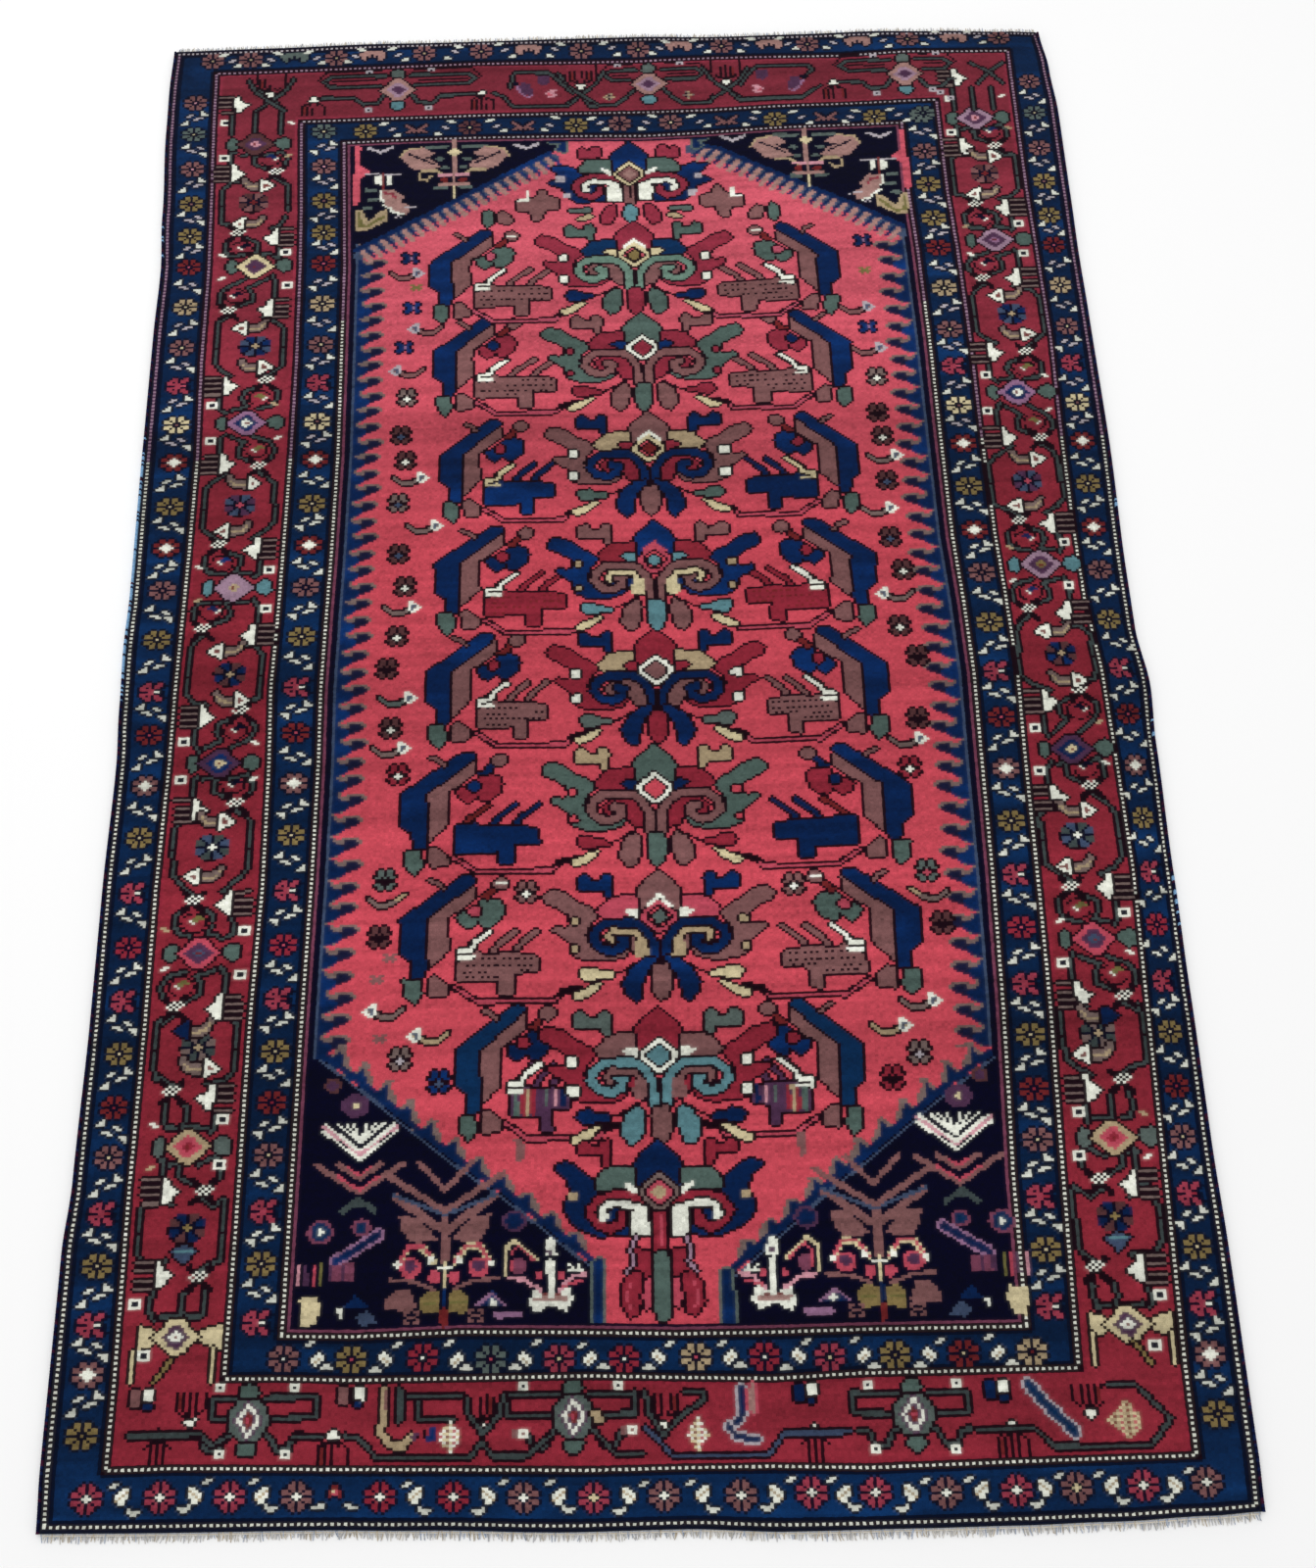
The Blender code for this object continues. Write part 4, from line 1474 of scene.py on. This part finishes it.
def make_mesh(name, vertices, faces, colours, uvs, maps=("OFBake",)):
    """A piece from arrays: its corners, its four-sided faces, a colour for each face, and flat maps."""
    mesh = bpy.data.meshes.new(name)
    count = len(faces)
    mesh.vertices.add(len(vertices))
    mesh.vertices.foreach_set("co", np.asarray(vertices, np.float32).ravel())
    mesh.loops.add(count * 4)
    mesh.loops.foreach_set("vertex_index", np.asarray(faces, np.int32).ravel())
    mesh.polygons.add(count)
    mesh.polygons.foreach_set("loop_start", np.arange(0, count * 4, 4, dtype=np.int32))
    mesh.polygons.foreach_set("loop_total", np.full(count, 4, np.int32))
    mesh.update(calc_edges=True)
    for key, corners in zip(maps, uvs):
        mesh.uv_layers.new(name=key).data.foreach_set("uv", np.asarray(corners, np.float32).ravel())
    shades = mesh.color_attributes.new("yarn", "FLOAT_COLOR", "CORNER")
    shade = np.ones((count, 4, 4), np.float32)
    shade[..., :3] = colours if np.ndim(colours) == 3 else np.asarray(colours)[:, None, :]
    shades.data.foreach_set("color", shade.ravel())
    piece = bpy.data.objects.new(name, mesh)
    bpy.context.scene.collection.objects.link(piece)
    return piece


def grid_faces(rows, columns, width):
    """Four-sided faces over rows and columns of a grid of corners that is width corners wide."""
    first = (np.asarray(rows)[:, None] * width + np.asarray(columns)[None, :]).ravel()
    return np.stack([first, first + 1, first + 1 + width, first + width], 1)


def corner_map(u0, u1, v0, v1):
    """Each face's four corners on a flat map."""
    return np.stack([np.stack(corner, -1) for corner in ((u0, v0), (u1, v0), (u1, v1), (u0, v1))], 1)


def lane_map(row, column, rows, columns, lanes, side_gap=0.0, end_gap=0.0):
    """The flat map of a long piece, whose rows of faces are laid beside one another in lanes."""
    lane_rows = -(-rows // lanes)
    lane = row // lane_rows
    wide, tall = 1 - 2 * side_gap, 1 - 2 * end_gap
    u0 = (lane + side_gap + wide * column / columns) / lanes
    u1 = (lane + side_gap + wide * (column + 1) / columns) / lanes
    v0 = end_gap + tall * (row % lane_rows) / lane_rows
    return corner_map(u0, u1, v0, v0 + tall / lane_rows)


def make_pile(across, along, chart, colours, random, middle):
    """The knotted face of the rug, in strips that run its whole length."""
    height = pile_height(across, along)
    uneven = random.normal(0, KNOT_UNEVENNESS, height.shape)
    knots = np.pad(chart.yarns, 1, mode="edge")
    dark = np.isin(knots, [CODES["dark"], CODES["night"]]).astype(float)
    around = (dark[1:, 1:] + dark[:-1, 1:] + dark[1:, :-1] + dark[:-1, :-1]) / 4
    height = height + uneven - around * DARK_DEPTH
    jitter = random.normal(0, KNOT_STRAY, (2, *height.shape))
    inner = np.zeros(height.shape)
    inner[1:-1, 1:-1] = 1
    x = np.pad(across + jitter[0] * inner, 1, mode="edge")
    y = np.pad(along + jitter[1] * inner, 1, mode="edge")
    height[0] = height[-1] = PILE_HEIGHT - PILE_SHOULDER
    height[:, 0] = height[:, -1] = PILE_HEIGHT - PILE_SHOULDER
    z = np.pad(height, 1, constant_values=PILE_FOOT)
    tints = np.pad(colours, ((1, 1), (1, 1), (0, 0)), mode="edge")
    near = np.pad(tints, ((1, 1), (1, 1), (0, 0)), mode="edge")
    near = (near[1:, 1:] + near[:-1, 1:] + near[1:, :-1] + near[:-1, :-1]) / 4
    near = np.stack([near[:-1, :-1], near[:-1, 1:], near[1:, 1:], near[1:, :-1]], 2)
    deep = np.isin(knots, [CODES[yarn] for yarn in ("dark", "night", "navy")])
    spread = np.where(deep, DARK_SPREAD, TUFT_SPREAD)[..., None, None]
    tints = tints[:, :, None] * (1 - spread) + near * spread
    rows, columns = z.shape[0] - 1, z.shape[1] - 1
    points = np.stack([x - middle[0], y - middle[1], z], -1)
    strips = []
    for strip in range(STRIPS):
        first = 1 + strip * KNOTS_ACROSS // STRIPS
        last = 1 + (strip + 1) * KNOTS_ACROSS // STRIPS
        if strip == 0:
            first = 0
        if strip == STRIPS - 1:
            last = columns
        part = points[:, first : last + 1].reshape(-1, 3)
        width = last - first
        faces = grid_faces(range(rows), range(width), width + 1)
        row, column = np.divmod(np.arange(rows * width), width)
        flat = lane_map(row, column, rows, width, PILE_LANES, 0.012, 0.004)
        over = (column + first)[:, None] + np.array([0, 1, 1, 0])
        up = row[:, None] + np.array([0, 0, 1, 1])
        knot_map = np.stack([over, up], -1).astype(float)
        keep = np.ones(len(faces), bool)
        ends = (row == 0) | (row == rows - 1)
        if strip == 0:
            keep &= ~(ends & (column == 0))
        if strip == STRIPS - 1:
            keep &= ~(ends & (column == width - 1))
        tint = tints[:, first:last].reshape(-1, 4, 3)
        strips.append(make_mesh(f"pile_{strip + 1}", part, faces[keep], tint[keep],
                                (flat[keep], knot_map[keep]), ("OFBake", "knots")))
    return strips


def make_back(across, along, colours, middle):
    """The rug's underside, one cloth, where the same knots show."""
    x, y = across[::2, ::2], along[::2, ::2]
    x = x.copy()
    x[:, 0] += BACK_INSET
    x[:, -1] -= BACK_INSET
    z = np.full(x.shape, BACK_HEIGHT)
    points = np.stack([x - middle[0], y - middle[1], z], -1).reshape(-1, 3)
    rows, columns = x.shape[0] - 1, x.shape[1] - 1
    faces = grid_faces(range(rows), range(columns), columns + 1)[:, ::-1]
    tint = colours[::2, ::2].reshape(-1, 3)
    row, column = np.divmod(np.arange(rows * columns), columns)
    flat = corner_map(column / columns, (column + 1) / columns, (row + 1) / rows, row / rows)
    knot_map = flat * np.array([KNOTS_ACROSS, KNOTS_ALONG])
    return make_mesh("back", points, faces, tint * 0.9, (flat, knot_map), ("OFBake", "knots"))


CORD_SECTION = (
    # how far in from the outer side and how high, as shares of the cord's width and height
    (0.24, 0.02),
    (0.02, 0.28),
    (0.0, 0.55),
    (0.18, 0.88),
    (0.5, 1.0),
    (0.84, 0.92),
    (0.98, 0.62),
    (0.98, 0.1),
)
# Wools and cottons, as red, green and blue on a screen
CORD_WOOLS = ((10, 12, 44), (34, 10, 34), (16, 30, 70), (60, 20, 44))
WORN_WOOL = (126, 168, 206)
COTTONS = ((226, 222, 214), (206, 206, 208), (186, 196, 214), (214, 200, 176))


def make_side_cord(name, side, inward, random, middle, worn):
    """An overcast side cord: slanted turns of wool over a bundle of warps."""
    width, rise = SIDE_CORD_WIDTH, SIDE_CORD_HEIGHT
    section = np.array(CORD_SECTION) * (width, rise)
    steps = CORD_TURNS * STEPS_PER_TURN
    share = np.arange(steps + 1) / steps
    outer = side(RUG_LENGTH * share)
    edge = outer + inward * width
    start, end = foot_edge(edge), head_edge(edge)
    turn = np.arange(steps + 1)
    points = np.zeros((steps + 1, len(section), 3))
    heart = section.mean(0)
    for corner, (depth, up) in enumerate(section):
        phase = np.mod(turn / STEPS_PER_TURN + corner * TURN_SLANT, 1)
        swell = 0.80 + 0.20 * np.sqrt(np.clip(1 - (2 * phase - 1) ** 2, 0, 1))
        swell = swell * (1 + random.normal(0, 0.02, len(swell)))
        d = heart[0] + (depth - heart[0]) * swell
        u = heart[1] + (up - heart[1]) * swell
        points[:, corner, 0] = outer + inward * np.clip(d, 0, width) - middle[0]
        points[:, corner, 1] = start + (end - start) * share - middle[1]
        points[:, corner, 2] = np.clip(u, 0.0002, rise)
    count = len(section)
    ring = np.arange(count)
    after = (ring + 1) % count
    quad = np.stack([ring, after, after + count, ring + count], 1)
    faces = (quad + count * np.arange(steps)[:, None, None]).reshape(-1, 4)
    if inward < 0:
        faces = faces[:, ::-1]
    tones = linear(CORD_WOOLS)
    pick = random.choice(4, CORD_TURNS + 2, p=(0.5, 0.2, 0.2, 0.1))
    row, column = np.repeat(np.arange(steps), count), np.tile(ring, steps)
    face_turn = row / STEPS_PER_TURN + column * TURN_SLANT
    tint = tones[pick[face_turn.astype(int)]]
    along = face_turn / CORD_TURNS * RUG_LENGTH / MM
    pale = linear(WORN_WOOL)
    for low, high, share_worn in worn:
        blend = np.clip(np.minimum(along - low, high - along) / 60, 0, 1) * share_worn
        patch = random.uniform(0, 1, CORD_TURNS + 2)[face_turn.astype(int)] < blend
        tint[patch] = pale * random.uniform(0.6, 1.2, (patch.sum(), 1))
    flat = lane_map(row, column, steps, count, CORD_LANES)
    if inward < 0:
        flat = flat[:, ::-1]
    return make_mesh(name, points.reshape(-1, 3), faces, tint, (flat, flat * 400), ("OFBake", "knots"))


def make_fringe(name, edge, outward, random, middle):
    """The end web, and the cut warps that stand out of it, a little frayed."""
    along = RUG_LENGTH if outward > 0 else 0.0
    first = float(left_side(along)) + SIDE_CORD_WIDTH
    last = float(right_side(along)) - SIDE_CORD_WIDTH
    vertices, faces, tints = [], [], []
    cotton = linear(COTTONS)

    def ribbon(path, half, colour):
        """A thin three-sided strand along a path."""
        begin = len(vertices)
        for place, (x, y, z) in enumerate(path):
            size = half * (1 - 0.35 * place / (len(path) - 1))
            for a, b in ((-1, -0.5), (1, -0.5), (0, 1)):
                vertices.append((x + a * size - middle[0], y - middle[1], max(z + b * size, 0.0001)))
        for place in range(len(path) - 1):
            low = begin + place * 3
            for side in range(3):
                after = (side + 1) % 3
                quad = (low + side, low + after, low + 3 + after, low + 3 + side)
                faces.append(quad if outward < 0 else quad[::-1])
                tints.append(colour)

    for number in range(STRANDS):
        x = first + (last - first) * (number + 0.5) / STRANDS + random.normal(0, 0.0003)
        root = float(edge(x)) + outward * GAP
        length = WEB_DEPTH + FRINGE_LENGTH * random.uniform(0.35, 1.0)
        lean = random.normal(0, 0.0016)
        path = []
        for share in (0.0, 0.3, 0.6, 1.0):
            z = 0.0016 + 0.0009 * math.sin(share * 3 + number) * (1 - share)
            path.append((x + lean * share ** 1.6, root + outward * length * share, z))
        colour = cotton[random.choice(4, p=(0.45, 0.25, 0.15, 0.15))] * random.uniform(0.75, 1.05)
        ribbon(path, STRAND_HALF_WIDTH, colour)
    places = np.linspace(first, last, WEB_STEPS)
    for level, reach in enumerate(np.linspace(0.0, WEB_DEPTH, 5)):
        wave = 0.0002 * np.sin(np.arange(WEB_STEPS) * math.pi + level * math.pi)
        begin = len(vertices)
        for x, lift in zip(places, wave):
            y = float(edge(x)) + outward * (GAP + reach)
            vertices.append((x - middle[0], y - middle[1], 0.0020 + lift))
        if level:
            for step in range(WEB_STEPS - 1):
                low, high = begin + step - WEB_STEPS, begin + step
                quad = (low, low + 1, high + 1, high)
                faces.append(quad if outward > 0 else quad[::-1])
                tints.append(cotton[level % 4] * 0.9)
    count = len(faces)
    u = np.arange(count) % 60 / 60
    v = np.arange(count) // 60 / (count // 60 + 1)
    du, dv = 1 / 62, 1 / (count // 60 + 3)
    return make_mesh(name, np.array(vertices), np.array(faces), np.array(tints),
                     (corner_map(u, u + du, v, v + dv),))


def put_in(node, **values):
    """Sets a node's inputs, which are named with _ for a space."""
    for name, value in values.items():
        node.inputs[name.replace("_", " ")].default_value = value


def new_material(name):
    """A new material, its nodes and its shader."""
    material = bpy.data.materials.new(name)
    material.use_nodes = True
    nodes = material.node_tree.nodes
    return material, nodes, nodes["Principled BSDF"]


def wool(name, bump, sheen):
    """Wool, coloured by each knot's yarn, with a fine grain of fibres."""
    material, nodes, shader = new_material(name)
    links = material.node_tree.links
    put_in(shader, Roughness=0.92, Specular_IOR_Level=0.04, Sheen_Weight=sheen, Sheen_Roughness=0.6)
    yarn = nodes.new("ShaderNodeAttribute")
    yarn.attribute_name = "yarn"
    place = nodes.new("ShaderNodeTexCoord")
    stretch = nodes.new("ShaderNodeMapping")
    put_in(stretch, Scale=(1.0, 1.5, 1.0))
    links.new(place.outputs["Object"], stretch.inputs["Vector"])
    fibre = nodes.new("ShaderNodeTexNoise")
    put_in(fibre, Scale=900, Detail=2)
    links.new(stretch.outputs["Vector"], fibre.inputs["Vector"])
    lighter = nodes.new("ShaderNodeMapRange")
    put_in(lighter, From_Min=0.3, From_Max=0.7, To_Min=0.84, To_Max=1.16)
    links.new(fibre.outputs["Fac"], lighter.inputs["Value"])
    shade = nodes.new("ShaderNodeVectorMath")
    shade.operation = "SCALE"
    links.new(yarn.outputs["Color"], shade.inputs[0])
    links.new(lighter.outputs["Result"], shade.inputs["Scale"])
    links.new(shade.outputs["Vector"], shader.inputs["Base Color"])
    relief = nodes.new("ShaderNodeBump")
    put_in(relief, Distance=bump, Strength=0.6)
    links.new(fibre.outputs["Fac"], relief.inputs["Height"])
    links.new(relief.outputs["Normal"], shader.inputs["Normal"])
    return material


def plain(name, colour, rough):
    material, _, shader = new_material(name)
    put_in(shader, Base_Color=(*colour, 1), Roughness=rough, Specular_IOR_Level=0.2)
    return material


# The rug, placed so that its body lies as the solid does
random = np.random.default_rng(SEED)
corners_across, corners_along = knot_corners()
centres = [
    (grid[1:, 1:] + grid[:-1, 1:] + grid[1:, :-1] + grid[:-1, :-1]) / 4 / MM
    for grid in (corners_across, corners_along)
]
chart = Chart(*centres, np.zeros((KNOTS_ALONG, KNOTS_ACROSS), np.int16))
weave(chart)
colours = dye(chart, random)

body_low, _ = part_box("rug_body")
body_left = float((left_side(np.linspace(0, RUG_LENGTH, 49)) + SIDE_CORD_WIDTH + GAP).min())
body_foot = float(foot_edge(np.linspace(0, RUG_WIDTH, 27)).min())
middle = (body_left - body_low[0], body_foot - body_low[1])

pile_wool = wool("pile wool", 0.0006, 0.03)
cord_wool = wool("side cord wool", 0.0008, 0.03)
back_wool = wool("back wool", 0.0003, 0.02)
cotton = wool("warp cotton", 0.0003, 0.0)

pieces = []
for strip in make_pile(corners_across, corners_along, chart, colours, random, middle):
    strip.data.materials.append(pile_wool)
    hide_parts("rug_body")
    pieces.append(strip)
back = make_back(corners_across, corners_along, colours, middle)
back.data.materials.append(back_wool)
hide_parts("rug_body")
for name, side, inward, worn in (
    # solid, its side, which way is inward, then where it is worn: from, to, and how much
    ("selvedge_left", left_side, 1, ((940, 1340, 0.8), (1600, 1700, 0.2))),
    ("selvedge_right", right_side, -1, ((630, 710, 0.5), (850, 910, 0.5), (1170, 1220, 0.4))),
):
    cord = make_side_cord(name + "_cord", side, inward, random, middle, worn)
    cord.data.materials.append(cord_wool)
    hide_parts(name)
    pieces.append(cord)
for name, edge, outward in (("fringe_foot", foot_edge, -1), ("fringe_head", head_edge, 1)):
    fringe = make_fringe(name + "_warps", edge, outward, random, middle)
    fringe.data.materials.append(cotton)
    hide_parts(name)
    pieces.append(fringe)
for piece in (*pieces, back):
    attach(piece, "root")

# The pale floor, which lies just under the rug
FLOOR_REACH = 30
FLOOR_HEIGHT = -0.0004
scene = bpy.context.scene
scene.view_settings.view_transform = "Standard"
mesh = bpy.data.meshes.new("floor")
floor_corners = [(x * FLOOR_REACH, y * FLOOR_REACH, 0) for x, y in ((-1, -1), (1, -1), (1, 1), (-1, 1))]
mesh.from_pydata(floor_corners, [], [(0, 1, 2, 3)])
floor = bpy.data.objects.new("floor", mesh)
floor.location.z = FLOOR_HEIGHT
scene.collection.objects.link(floor)
mesh.materials.append(plain("pale floor", (0.97, 0.97, 0.97), 0.9))

# Even white light from all round, and one large soft lamp
world = bpy.data.worlds.new("studio")
world.use_nodes = True
put_in(world.node_tree.nodes["Background"], Color=(1.0, 1.0, 1.0, 1), Strength=0.80)
scene.world = world
lamp = bpy.data.lights.new("soft box", "AREA")
lamp.shape = "RECTANGLE"
lamp.size = lamp.size_y = 3.0
lamp.energy = 34
soft_box = bpy.data.objects.new("soft box", lamp)
soft_box.location = (-0.6, 0.9, 3.2)
soft_box.rotation_euler = (math.radians(-8), math.radians(-10), 0)
scene.collection.objects.link(soft_box)

# The camera, where the photograph was taken from
lens = bpy.data.cameras.new("camera")
lens.sensor_width = 36
lens.lens = 31.5
lens.shift_x = 0.044
lens.clip_start = 0.05
lens.clip_end = 100
camera = bpy.data.objects.new("camera", lens)
camera.location = (-0.0375, -0.699, 1.6245)
camera.rotation_euler = [math.radians(turn) for turn in (17.95, 0.87, -1.06)]
scene.collection.objects.link(camera)
scene.camera = camera
